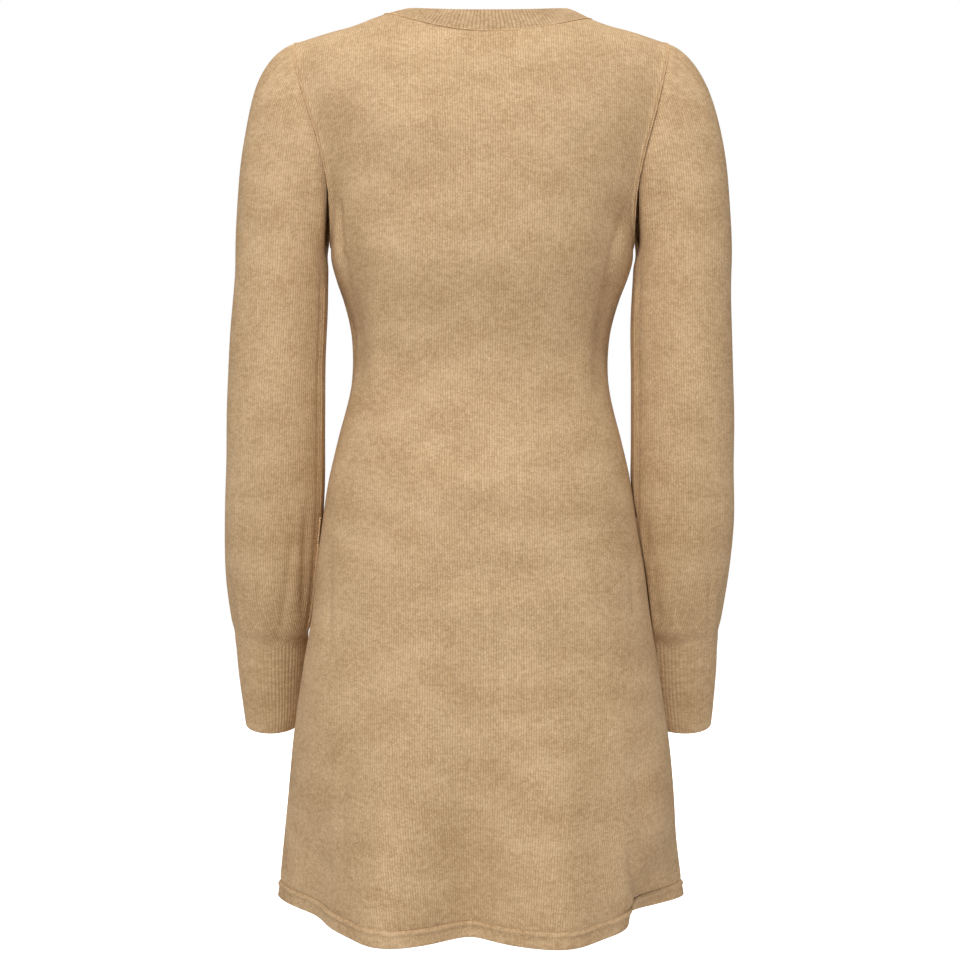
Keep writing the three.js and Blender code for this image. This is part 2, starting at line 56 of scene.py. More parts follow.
def table(columns, *rows):
    """Rows of sizes, in millimetres and degrees, as named columns."""
    values = np.array(rows, float)
    return {name: values[:, k] for k, name in enumerate(columns)}


# Body and skirt. "drop" is the distance below the neck, "half" half the width between the
# armholes or side seams, "back" and "front" the depths behind and before those seams.
BODY = table(
    ("drop", "half", "back", "front"),
    (0, 178.0, 88, 60),
    (24, 172.0, 90, 66),
    (47, 168.0, 92, 72),
    (90, 156.5, 96, 83),
    (128, 145.5, 100, 94),
    (162, 138.8, 102, 104),
    (190, 137.6, 103, 110),
    (221, 138.5, 103, 114),
    (240, 134.0, 101, 114),
    (258, 127.5, 97, 112),
    (277, 122.0, 92, 107),
    (295, 118.7, 88, 102),
    (322, 117.6, 85, 96),
    (350, 120.5, 88, 94),
    (387, 129.7, 97, 97),
    (424, 138.0, 107, 101),
    (461, 143.5, 114, 105),
    (503, 149.6, 119, 109),
    (545, 154.5, 121, 112),
    (598, 163.0, 125, 117),
    (663, 172.5, 131, 124),
    (718, 177.6, 135, 129),
    (794, 184.5, 140, 136),
    (808, 186.5, 142, 138),
)
SECTION_POWER = 2.2
CHEST_DROP = 212
HEM_SEAM_DROP = 794
HEM_DROP = 808

# Waves of the skirt. "turn" is degrees round from the middle of the back towards the left
# side, "rise" how far the cloth stands out at the hem, "start" where the wave begins.
WAVES = table(
    ("turn", "rise", "spread", "start"),
    (29, 21, 12, 480),
    (5, -28, 12, 540),
    (-25, 20, 12, 480),
    (-70, -41, 16, 700),
    (-93, 8, 7, 700),
    (68, -23, 16, 560),
    (93, 4, 7, 560),
    (122, -18, 14, 520),
    (150, 18, 13, 500),
    (178, -18, 12, 540),
    (-152, 20, 13, 480),
    (-118, -20, 14, 560),
)
WAVE_POWER = 1.3
WAVE_RUNOUT = 60
HEM_SAG = {"back": 5, "front": 3}
HEM_SAG_START = 480

# Neck, shoulders and armholes.
NECK_SHIFT = -6.5
NECK_SEAM = {"half": 95.5, "back": 30, "front": 88}
NECK_EDGE = {"half": 77, "back": 60, "front": 67, "side": 8.7, "back_drop": 18, "front_drop": 78.7}
NECK_SHARE = 0.5
NECK_CROWN = 1.4
NECK_LEVEL = {"side": -2.7, "middle": 1.6}
SHOULDER_TOP = 94
SHOULDER_TIP = {"half": 172, "drop": 24}
SHOULDER_ROUND = 40
SHOULDER_DIP = {"half": 116, "deep": 1.4, "spread": 15}
SHOULDER_ROLL = 4
ARMHOLE = {"back": 48, "front": 44, "bottom_half": 138.4}
ARMHOLE_BLEND = 3

# Sleeve and cuff sections along the arm, for the left side. "x" and "y" are the middle,
# "wide" and "deep" the half sizes, "lean" the degrees the section tips.
SLEEVE = table(
    ("drop", "x", "y", "wide", "deep", "lean"),
    (235, 183.2, 6, 43.8, 41.0, 0),
    (290, 184.0, 8, 45.0, 40.0, 0),
    (350, 185.5, 9, 45.7, 40.0, 1),
    (424, 186.5, 4, 46.2, 41.0, 6),
    (475, 188.1, -5, 46.1, 42.0, 11),
    (515, 188.8, -16, 44.2, 42.0, 14),
    (545, 190.0, -26, 41.0, 39.5, 15),
    (568, 191.3, -33, 36.5, 35.0, 15),
)
CUFF = table(
    ("drop", "x", "y", "wide", "deep", "lean"),
    (568, 191.3, -33.0, 34.8, 31.5, 15),
    (600, 192.4, -41.6, 33.2, 30.5, 15),
    (636, 193.6, -51.2, 29.8, 28.0, 15),
    (656, 195.0, -56.6, 26.8, 26.5, 15),
)
SLEEVE_FULLER = {"left": -1.2, "right": 1.0}
CAP_REACH = 38
CAP_REACH_SHARE = 0.33
CAP_HANG = 0.64
LIES_ON_SKIRT = {"start": 400, "clear": 1.2}
CUFF_RIBS = 60
NECK_RIBS = 160

# Where each level of the dress leans along X.
SWAY = table(
    ("drop", "body", "sleeve"),
    (20, -0.8, -0.8),
    (60, -1.0, -1.0),
    (120, -2.6, -2.6),
    (221, -2.0, -2.0),
    (258, -1.2, -0.9),
    (340, 0.0, 0.8),
    (450, 0.5, 1.4),
    (517, -0.5, 4.3),
    (560, -0.9, 4.5),
    (610, -0.6, 3.8),
    (660, -0.6, 2.5),
    (830, -0.8, 2.5),
)

# Hollows where the lower sleeve is gathered on to the cuff. "round" is degrees from the
# underarm over the back, "rise" is how far the cloth stands out.
GATHERS = {
    "left": table(
        ("round", "rise", "spread", "start"),
        (150, -3.6, 15, 455),
        (112, -2.2, 9, 520),
        (75, -2.6, 13, 500),
        (-70, -2.8, 16, 480),
        (-140, -2.4, 14, 505),
    ),
    "right": table(
        ("round", "rise", "spread", "start"),
        (100, -3.4, 14, 465),
        (132, -2.0, 9, 520),
        (160, -2.4, 13, 500),
        (-60, -2.4, 15, 490),
        (-125, -2.8, 15, 475),
    ),
}

# Creases of the back and front: a soft line from one place (x, z) to another, "rise" out
# of the cloth (troughs are negative), "spread" its half width.
BACK_CREASES = table(
    ("x1", "z1", "x2", "z2", "rise", "spread"),
    (127.5, -170, 126.5, -224, -2.6, 2.6),
    (126.5, -216, 121.0, -262, -3.0, 3.8),
    (121.5, -252, 112.0, -306, -2.4, 6.5),
    (132.0, -190, 130.5, -238, 1.4, 3.0),
    (-127.5, -182, -120.0, -222, -2.4, 5.0),
    (-120.0, -212, -115.5, -278, -3.2, 6.0),
    (-115.5, -266, -109.0, -326, -1.8, 8.5),
    (-128.0, -168, -98.0, -240, -2.0, 15.0),
    (117.0, -205, 106.0, -350, -4.2, 14.0),
    (-114.0, -200, -104.0, -350, -3.6, 14.0),
    (98.0, -262, 95.0, -350, 3.0, 11.0),
    (-97.0, -266, -94.0, -350, 2.2, 11.0),
    (133.0, -470, 134.0, -585, -1.6, 3.2),
    (-133.5, -488, -136.0, -550, -1.5, 3.2),
    (64.0, -432, -14.0, -428, 3.6, 18.0),
    (52.0, -509, -92.0, -499, -2.0, 13.0),
    (62.0, -537, -94.0, -527, 2.1, 13.0),
    (30.0, -575, -60.0, -580, -1.4, 14.0),
    (150.0, -752, 128.0, -766, -1.0, 4.0),
    (118.0, -640, 122.0, -780, -1.6, 6.0),
    (134.0, -640, 139.0, -792, -3.0, 13.0),
    (-136.0, -636, -142.0, -780, -2.6, 13.0),
    (-128.0, -735, -140.0, -800, -3.6, 5.0),
    (-112.0, -770, -128.0, -802, -1.4, 6.0),
    (104.0, -106, 16.0, -122, 3.2, 20.0),
    (100.0, -152, 50.0, -172, -1.6, 14.0),
    (-105.0, -112, -70.0, -146, -1.4, 12.0),
    (-98.0, -300, -60.0, -322, -1.2, 9.0),
    (96.0, -306, 58.0, -330, -1.3, 9.0),
    (40.0, -352, -30.0, -346, -0.8, 12.0),
)
FRONT_CREASES = table(
    ("x1", "z1", "x2", "z2", "rise", "spread"),
    (124.0, -190, 108.0, -262, -1.8, 4.5),
    (112.0, -255, 100.0, -318, -1.6, 7.0),
    (-125.0, -186, -110.0, -250, -1.7, 4.6),
    (-112.0, -246, -103.0, -300, -1.8, 6.5),
    (126.0, -120, 92.0, -160, -1.2, 8.0),
    (-127.0, -128, -88.0, -150, -1.1, 9.0),
    (95.0, -296, 45.0, -318, -0.9, 9.0),
    (-92.0, -310, -50.0, -300, -0.9, 10.0),
    (50.0, -338, -20.0, -344, -0.7, 12.0),
    (131.0, -480, 133.0, -560, -1.2, 4.0),
    (-130.0, -470, -134.0, -580, -1.3, 4.0),
    (70.0, -452, 10.0, -470, 0.8, 15.0),
    (-60.0, -620, -84.0, -770, -1.2, 7.0),
    (30.0, -660, 44.0, -790, -1.0, 8.0),
    (110.0, -700, 122.0, -795, -1.4, 6.0),
)

# Creases of the sleeves, by degrees round and drop down the arm.
SLEEVE_CREASES = {
    "left": table(
        ("round1", "drop1", "round2", "drop2", "rise", "spread"),
        (128, 108, 112, 132, -1.0, 4.5),
        (60, 470, 70, 566, -1.6, 4.0),
        (96, 500, 104, 566, -1.3, 3.6),
        (128, 520, 122, 566, -1.5, 3.2),
        (44, 440, 40, 560, -2.2, 4.5),
        (24, 478, 17, 566, 2.2, 3.2),
        (165, 520, 172, 566, -1.2, 3.4),
        (-30, 330, -44, 372, -1.2, 6.0),
        (-60, 350, -84, 366, -1.2, 7.0),
        (-20, 520, -26, 566, -1.4, 3.6),
        (-100, 510, -94, 566, -1.6, 3.4),
        (-160, 480, -156, 566, -1.3, 4.0),
        (-120, 120, -100, 170, -1.0, 7.0),
    ),
    "right": table(
        ("round1", "drop1", "round2", "drop2", "rise", "spread"),
        (70, 120, 62, 150, -0.8, 5.0),
        (52, 480, 60, 566, -1.5, 4.0),
        (86, 516, 84, 566, -1.6, 3.4),
        (122, 492, 128, 566, -1.4, 3.8),
        (146, 524, 150, 566, -1.3, 3.2),
        (40, 452, 44, 540, -1.8, 4.4),
        (22, 486, 18, 560, 1.6, 3.2),
        (-34, 336, -60, 352, -1.3, 6.5),
        (-24, 508, -32, 566, -1.3, 3.6),
        (-84, 500, -90, 566, -1.5, 3.6),
        (-150, 504, -146, 566, -1.5, 3.4),
        (-110, 110, -92, 150, -0.9, 7.0),
    ),
}

# The sleeve seam runs a little behind the underarm: a row of loops beside a narrow trough.
# "round" is in degrees, and the loops turn back by "turned" where the sleeve meets the skirt.
SLEEVE_SEAM = {"round": 27, "deep": 0.8, "spread": 1.9, "welt_round": 17, "welt": 0.5}
SLEEVE_LOOPS = {"round": 19, "turned": 4.5, "from": 250, "bold": 455, "until": 562}
SEAM_DIP = {"deep": 0.9, "spread": 2.0}
CREASE_END = 4.0
ARMHOLE_WELT = {"rise": 0.9, "away": 2.6, "spread": 1.5, "dip": 0.6}
HEM_SHADOW = {"deep": 0.9, "spread": 2.6}
SLEEVE_TUCK = {"top": 0.4, "top_spread": 1.6, "underarm": 5.0, "underarm_spread": 10.5}
CUFF_FLARE = {"rise": 0.7, "spread": 9.0}
CUFF_JOIN = 7.0
UNEVEN = 0.55


class DressSizes(bpy.types.PropertyGroup):
    cloth: bpy.props.FloatProperty(
        name="Cloth",
        description="Thickness of the plain knit",
        default=2.0 * MM,
        min=0.5 * MM,
        unit="LENGTH",
    )
    band_cloth: bpy.props.FloatProperty(
        name="Band cloth",
        description="Thickness of the ribbed bands",
        default=2.7 * MM,
        min=1.0 * MM,
        unit="LENGTH",
    )
    wale: bpy.props.FloatProperty(
        name="Stitch width",
        description="Width of one column of stitches in the plain knit",
        default=2.15 * MM,
        min=0.5 * MM,
        unit="LENGTH",
    )
    course: bpy.props.FloatProperty(
        name="Stitch height",
        description="Height of one row of stitches",
        default=1.6 * MM,
        min=0.5 * MM,
        unit="LENGTH",
    )
    rib: bpy.props.FloatProperty(
        name="Rib relief",
        description="How far the ribs of the cuffs and neckband stand out of their grooves",
        default=0.28 * MM,
        min=0.0,
        unit="LENGTH",
    )
    seam_loop: bpy.props.FloatProperty(
        name="Seam loop",
        description="Length of one loop of the linking yarn along the seams",
        default=2.2 * MM,
        min=0.5 * MM,
        unit="LENGTH",
    )


class DressColours(bpy.types.PropertyGroup):
    light_yarn: bpy.props.FloatVectorProperty(
        name="Light fibres",
        description="Colour of the light fibres in the heathered yarn",
        default=(0.830, 0.590, 0.356),
        size=3,
        subtype="COLOR",
    )
    dark_yarn: bpy.props.FloatVectorProperty(
        name="Dark fibres",
        description="Colour of the dark fibres in the heathered yarn",
        default=(0.500, 0.314, 0.158),
        size=3,
        subtype="COLOR",
    )
    # Painted shade: the yarn colour is darkened by this much in the grooves between the columns of stitches, for the
    # shade that falls there.
    groove: bpy.props.FloatProperty(
        name="Groove shade",
        description="How dark the grooves between the columns of stitches are",
        default=0.64,
        min=0.0,
        max=1.0,
        subtype="FACTOR",
    )
    floor: bpy.props.FloatVectorProperty(
        name="Floor",
        description="Colour of the floor",
        default=(0.92, 0.92, 0.92),
        size=3,
        subtype="COLOR",
    )


def smooth(value, low, high):
    """Smooth step from 0 at low to 1 at high."""
    t = np.clip((value - low) / (high - low), 0, 1)
    return t * t * (3 - 2 * t)


def mixed(a, b, share):
    return a + (b - a) * share


def value_at(rows, column, drop):
    """One column of a table at any level, on a smooth curve through its rows."""
    levels, values = rows["drop"], rows[column]
    last = len(levels) - 1
    slopes = np.empty(last + 1)
    slopes[1:-1] = (values[2:] - values[:-2]) / (levels[2:] - levels[:-2])
    slopes[0] = (values[1] - values[0]) / (levels[1] - levels[0])
    slopes[-1] = (values[-1] - values[-2]) / (levels[-1] - levels[-2])
    after = np.clip(np.searchsorted(levels, drop), 1, last)
    span = levels[after] - levels[after - 1]
    t = np.clip((drop - levels[after - 1]) / span, 0, 1)
    leave = t * (1 - t) ** 2 * slopes[after - 1] * span
    arrive = t * t * (t - 1) * slopes[after] * span
    return mixed(values[after - 1], values[after], t * t * (3 - 2 * t)) + leave + arrive


def bell(degrees, middle, spread):
    away = (degrees - middle + 180) % 360 - 180
    return np.exp(-((away / spread) ** 2))


def swayed(points, part):
    points[..., 0] += value_at(SWAY, part, -points[..., 2])
    return points


def body_surface(side, across, drop):
    """Outside of the body and skirt; across runs from -1 to 1 between the side seams."""
    face = 1 if side == "back" else -1
    angle = across * math.pi / 2
    power = 2 / SECTION_POWER
    x = value_at(BODY, "half", drop) * np.sign(across) * np.abs(np.sin(angle)) ** power
    y = face * value_at(BODY, side, drop) * np.abs(np.cos(angle)) ** power
    turn = np.degrees(np.arctan2(x, y))
    out = np.zeros_like(x)
    for k in range(len(WAVES["turn"])):
        start = WAVES["start"][k]
        grown = smooth(drop, start, HEM_DROP + WAVE_RUNOUT) ** WAVE_POWER
        full = smooth(HEM_DROP, start, HEM_DROP + WAVE_RUNOUT) ** WAVE_POWER
        out += WAVES["rise"][k] * bell(turn, WAVES["turn"][k], WAVES["spread"][k]) * grown / full
    scale = 1 + out / np.hypot(x, y)
    sag = HEM_SAG[side] * np.cos(angle) ** 2 * smooth(drop, HEM_SAG_START, HEM_DROP)
    return np.stack([x * scale, y * scale, -drop - sag], axis=-1)


def shoulder_line(x):
    """Height of the shoulder line at any distance from the middle."""
    def reach(half):
        return np.hypot(half, SHOULDER_ROUND)

    fall = (reach(x) - reach(SHOULDER_TOP)) / (reach(SHOULDER_TIP["half"]) - reach(SHOULDER_TOP))
    dip = np.exp(-(((np.abs(x) - SHOULDER_DIP["half"]) / SHOULDER_DIP["spread"]) ** 2))
    return -SHOULDER_TIP["drop"] * fall - SHOULDER_DIP["deep"] * dip


def shoulder_roll(x, z):
    share = (z + CHEST_DROP) / (shoulder_line(x) + CHEST_DROP)
    return np.sqrt(1 - np.clip(share, 0, 1) ** SHOULDER_ROLL)


def yoke_depth(side, x, z):
    """Depth of the upper body behind or before the shoulder line."""
    tall = CHEST_DROP - SHOULDER_TIP["drop"]
    up = np.clip((z + CHEST_DROP) / tall, 0, 0.999)
    edge_z = mixed(-CHEST_DROP, -SHOULDER_TIP["drop"], up)
    half = value_at(BODY, "half", -edge_z)
    edge = 2 * ARMHOLE[side] * np.sqrt(up * (1 - up)) / shoulder_roll(half, edge_z)
    share = np.minimum(np.abs(x) / half, 1)
    rounded = value_at(BODY, side, -z) * (1 - share**SECTION_POWER) ** (1 / SECTION_POWER)
    depth = (rounded**ARMHOLE_BLEND + (edge * share) ** ARMHOLE_BLEND) ** (1 / ARMHOLE_BLEND)
    return depth * shoulder_roll(x, z)


def neck_seam(theta):
    """Points round the neck seam, from the middle of the back towards the left."""
    across, ahead = np.sin(theta), np.cos(theta)
    x = NECK_SHIFT + NECK_SEAM["half"] * across
    end = shoulder_line(NECK_SHIFT + np.sign(across) * NECK_SEAM["half"])
    fall = np.where(ahead > 0, NECK_SEAM["back"], NECK_SEAM["front"])
    z = end * across**2 - fall * ahead**2
    depth = np.where(ahead > 0, yoke_depth("back", x, z), yoke_depth("front", x, z))
    return np.stack([x, np.sign(ahead) * depth, z], axis=-1)


def neck_edge(theta):
    """Points round the free edge of the neckband."""
    across, ahead = np.sin(theta), np.cos(theta)
    back = ahead > 0
    reach = np.where(back, NECK_EDGE["back"], NECK_EDGE["front"])
    fall = np.where(back, NECK_EDGE["back_drop"], NECK_EDGE["front_drop"])
    x = NECK_SHIFT + NECK_EDGE["half"] * across
    level = np.where(back, mixed(NECK_LEVEL["side"], NECK_LEVEL["middle"], ahead**4), NECK_LEVEL["side"] * across**2)
    return np.stack([x, ahead * reach, NECK_EDGE["side"] - ahead**2 * fall + level], axis=-1)


def yoke_surface(side, across, up):
    """Upper body from the chest, where up is 0, to the neck and shoulder seams."""
    face = 1 if side == "back" else -1
    outer = np.abs(across)
    turn = across / NECK_SHARE * math.pi / 2
    at_neck = neck_seam(turn if face > 0 else math.pi - turn)
    along = np.clip((outer - NECK_SHARE) / (1 - NECK_SHARE), 0, 1)
    corner = NECK_SHIFT + np.sign(across) * NECK_SEAM["half"]
    shoulder_x = mixed(corner, np.sign(across) * SHOULDER_TIP["half"], along)
    in_neck = outer <= NECK_SHARE
    top_x = np.where(in_neck, at_neck[..., 0], shoulder_x)
    top_z = np.where(in_neck, at_neck[..., 2], shoulder_line(shoulder_x))
    low = body_surface(side, across, np.full_like(across, CHEST_DROP))
    z = mixed(low[..., 2], top_z, up)
    low_share = low[..., 0] / value_at(BODY, "half", CHEST_DROP)
    top_share = top_x / value_at(BODY, "half", -top_z)
    x = value_at(BODY, "half", -z) * mixed(low_share, top_share, up)
    return np.stack([x, face * yoke_depth(side, x, z), z], axis=-1)


ARMHOLE_RISE = np.array(
    [SHOULDER_TIP["half"] - ARMHOLE["bottom_half"], 0, CHEST_DROP - SHOULDER_TIP["drop"]]
)
ARMHOLE_RISE = ARMHOLE_RISE / np.linalg.norm(ARMHOLE_RISE)
ARMHOLE_OUT = np.array([ARMHOLE_RISE[2], 0, -ARMHOLE_RISE[0]])


def armhole(turn):
    """Armhole seam of the left side; turn is 0 at the underarm and pi at the shoulder."""
    turn = (turn + math.pi) % (2 * math.pi) - math.pi
    drop = mixed(CHEST_DROP, SHOULDER_TIP["drop"], (1 - np.cos(turn)) / 2)
    reach = np.where(turn > 0, ARMHOLE["back"], ARMHOLE["front"])
    return np.stack([value_at(BODY, "half", drop), reach * np.sin(turn), -drop], axis=-1)


def section(rows, drop, turn, out, fuller):
    """Point of a sleeve or cuff section; turn is 0 on the underarm side, a quarter behind."""
    lean = np.radians(value_at(rows, "lean", drop))
    behind = (value_at(rows, "deep", drop) + out) * np.sin(turn)
    x = value_at(rows, "x", drop) - (value_at(rows, "wide", drop) + out + fuller) * np.cos(turn)
    y = value_at(rows, "y", drop) + behind * np.cos(lean)
    return np.stack([x, y, -drop - behind * np.sin(lean)], axis=-1)


def sleeve_surface(hand, turn, drop):
    gathers = GATHERS[hand]
    out = np.zeros_like(turn)
    for k in range(len(gathers["round"])):
        grown = smooth(drop, gathers["start"][k], SLEEVE["drop"][-1])
        out += gathers["rise"][k] * bell(np.degrees(turn), gathers["round"][k], gathers["spread"][k]) * grown
    return section(SLEEVE, drop, turn, out, SLEEVE_FULLER[hand])


def cap_surface(hand, turn, share):
    """Sleeve head, from the armhole seam to the first section of the sleeve."""
    start = armhole(turn)
    end = sleeve_surface(hand, turn, np.full_like(turn, SLEEVE["drop"][0]))
    over = ((1 - np.cos(turn)) / 2)[..., None]
    heading = np.concatenate([mixed(0.25, 0.94, over), 0 * over, -mixed(0.97, 0.33, over)], axis=-1)
    heading /= np.linalg.norm(heading, axis=-1, keepdims=True)
    far = np.linalg.norm(end - start, axis=-1, keepdims=True)
    leave = start + heading * np.minimum(CAP_REACH_SHARE * far, CAP_REACH)
    hang = end.copy()
    hang[..., 2] += CAP_HANG * (start[..., 2] - end[..., 2])
    t = share[..., None]
    return (
        (1 - t) ** 3 * start
        + 3 * (1 - t) ** 2 * t * leave
        + 3 * (1 - t) * t**2 * hang
        + t**3 * end
    )


def clear_of_skirt(points, side):
    """Holds left-hand sleeve points just outside the skirt beside them."""
    drop = -points[..., 2]
    depth = np.where(points[..., 1] > 0, value_at(BODY, "back", drop), value_at(BODY, "front", drop))
    share = np.minimum(np.abs(points[..., 1]) / depth, 1)
    skirt = value_at(BODY, "half", drop) * (1 - share**SECTION_POWER) ** (1 / SECTION_POWER)
    lean = side * (value_at(SWAY, "body", drop) - value_at(SWAY, "sleeve", drop))
    held = np.maximum(points[..., 0], skirt + lean + LIES_ON_SKIRT["clear"])
    points[..., 0] = np.where(drop < LIES_ON_SKIRT["start"], points[..., 0], held)
    return points


def placed(points, side):
    points[..., 0] *= side
    return swayed(points, "sleeve")


def outwards(points, middle):
    """Unit directions square to a grid of points, pointing away from its middle line."""
    down = np.gradient(points, axis=0)
    across = np.gradient(points, axis=1)
    normals = np.cross(across, down)
    length = np.linalg.norm(normals, axis=-1, keepdims=True)
    normals = normals / np.maximum(length, 1e-9)
    away = points - middle
    away[..., 2] = 0
    facing = np.sign(np.sum(normals * away))
    return normals * facing


def along_rows(points):
    """Distance along each row of a grid, from its middle column."""
    steps = np.linalg.norm(np.diff(points, axis=1), axis=-1)
    length = np.concatenate([np.zeros((len(points), 1)), np.cumsum(steps, axis=1)], axis=1)
    return length - length[:, points.shape[1] // 2, None]


def down_columns(points):
    """Distance down each column of a grid, from its first row."""
    steps = np.linalg.norm(np.diff(points, axis=0), axis=-1)
    return np.concatenate([np.zeros((1, points.shape[1])), np.cumsum(steps, axis=0)], axis=0)


def crease(px, pz, x1, z1, x2, z2, spread):
    """Soft line from one place to another: 1 on it, fading to the sides and at the ends."""
    run_x, run_z = x2 - x1, z2 - z1
    length = math.hypot(run_x, run_z)
    t = ((px - x1) * run_x + (pz - z1) * run_z) / length**2
    near = np.clip(t, 0, 1)
    off = np.hypot(px - x1 - near * run_x, pz - z1 - near * run_z)
    fade = smooth(t * length, -spread, length * 0.3) * (1 - smooth(t * length, length * 0.7, length + spread))
    return fade * np.exp(-((off / spread) ** 2))


def body_creases(points, rows):
    out = np.zeros(points.shape[:2])
    for k in range(len(rows["x1"])):
        line = crease(
            points[..., 0], points[..., 2],
            rows["x1"][k], rows["z1"][k], rows["x2"][k], rows["z2"][k], rows["spread"][k],
        )
        out += rows["rise"][k] * line
    return out


def unevenness(points, seed):
    """Gentle swells of hanging cloth, in millimetres."""
    x, y, z = points[..., 0], points[..., 1], points[..., 2]
    swell = np.sin(x / 31 + z / 47 + seed) * np.sin(z / 39 - y / 43 + 2 * seed)
    swell += 0.6 * np.sin(x / 17 - z / 29 + 3 * seed) * np.sin(z / 23 + y / 19 + seed)
    return UNEVEN * swell


def select_only(obj):
    for other in bpy.context.selected_objects:
        other.select_set(False)
    bpy.context.view_layer.objects.active = obj
    obj.select_set(True)


def deselect_all():
    for other in bpy.context.selected_objects:
        other.select_set(False)


def grid_piece(name, points, uv, thickness=0.0, capped=False):
    """A sheet of cloth: a grid shaped to the points, welded where it meets itself, and given
    its thickness inwards. Points are in millimetres and uv counts stitches."""
    rows, columns = points.shape[:2]
    deselect_all()
    bpy.ops.mesh.primitive_grid_add(x_subdivisions=columns - 1, y_subdivisions=rows - 1, size=1)
    piece = bpy.context.object
    piece.name = piece.data.name = name
    mesh = piece.data
    if len(mesh.vertices) != rows * columns:
        raise RuntimeError(f"{name}: the grid has {len(mesh.vertices)} points")
    mesh.vertices.foreach_set("co", (points * MM).astype(np.float32).ravel())
    corners = np.empty(len(mesh.loops), np.int32)
    mesh.loops.foreach_get("vertex_index", corners)
    layer = mesh.uv_layers.active
    layer.name = "stitches"
    layer.data.foreach_set("uv", uv.reshape(-1, 2)[corners].astype(np.float32).ravel())
    mesh.update()

    centre = points.reshape(-1, 3).mean(axis=0)
    normals = np.empty(len(mesh.polygons) * 3, np.float32)
    middles = np.empty(len(mesh.polygons) * 3, np.float32)
    mesh.polygons.foreach_get("normal", normals)
    mesh.polygons.foreach_get("center", middles)
    away = middles.reshape(-1, 3) - centre * MM
    away[:, 2] = 0
    bpy.ops.object.mode_set(mode="EDIT")
    bpy.ops.mesh.select_all(action="SELECT")
    if np.sum(normals.reshape(-1, 3) * away) < 0:
        bpy.ops.mesh.flip_normals()
    bpy.ops.mesh.remove_doubles(threshold=1e-6)
    if capped:
        bpy.ops.mesh.select_all(action="DESELECT")
        bpy.ops.mesh.select_non_manifold()
        bpy.ops.mesh.edge_face_add()
        bpy.ops.mesh.select_all(action="SELECT")
        bpy.ops.mesh.normals_make_consistent(inside=False)
    bpy.ops.object.mode_set(mode="OBJECT")
    if thickness:
        wall = piece.modifiers.new("wall", "SOLIDIFY")
        wall.thickness = thickness
        wall.offset = -1
        bpy.ops.object.modifier_apply(modifier=wall.name)
    bpy.ops.object.shade_smooth_by_angle(angle=math.radians(50))
    return piece


def finished(piece, node, material):
    """Gives a piece its yarn and its body, and hides the solids it stands for."""
    piece.data.materials.clear()
    piece.data.materials.append(material)
    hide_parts(node)
    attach(piece, "root")


def node_at(tree, kind, x, y, **values):
    node = tree.nodes.new(kind)
    node.location = (x, y)
    for key, value in values.items():
        setattr(node, key, value)
    return node


def sum_node(tree, operation, x, y, *inputs):
    """A Math node whose inputs are sockets or numbers."""
    node = node_at(tree, "ShaderNodeMath", x, y, operation=operation)
    for k, value in enumerate(inputs):
        if isinstance(value, (int, float)):
            node.inputs[k].default_value = value
        else:
            tree.links.new(value, node.inputs[k])
    return node.outputs[0]


def yarn_noise(tree, place, x, y, scale_across, scale_down, detail, rough):
    """Noise stretched along the courses: larger scales give finer flecks."""
    stretch = node_at(tree, "ShaderNodeMapping", x, y)
    stretch.inputs["Scale"].default_value = (scale_across, scale_down, 1)
    tree.links.new(place, stretch.inputs["Vector"])
    noise = node_at(tree, "ShaderNodeTexNoise", x + 200, y)
    noise.inputs["Scale"].default_value = 1.0
    noise.inputs["Detail"].default_value = detail
    noise.inputs["Roughness"].default_value = rough
    tree.links.new(stretch.outputs["Vector"], noise.inputs["Vector"])
    return noise.outputs["Fac"]


WALE_WANDER = 0.9


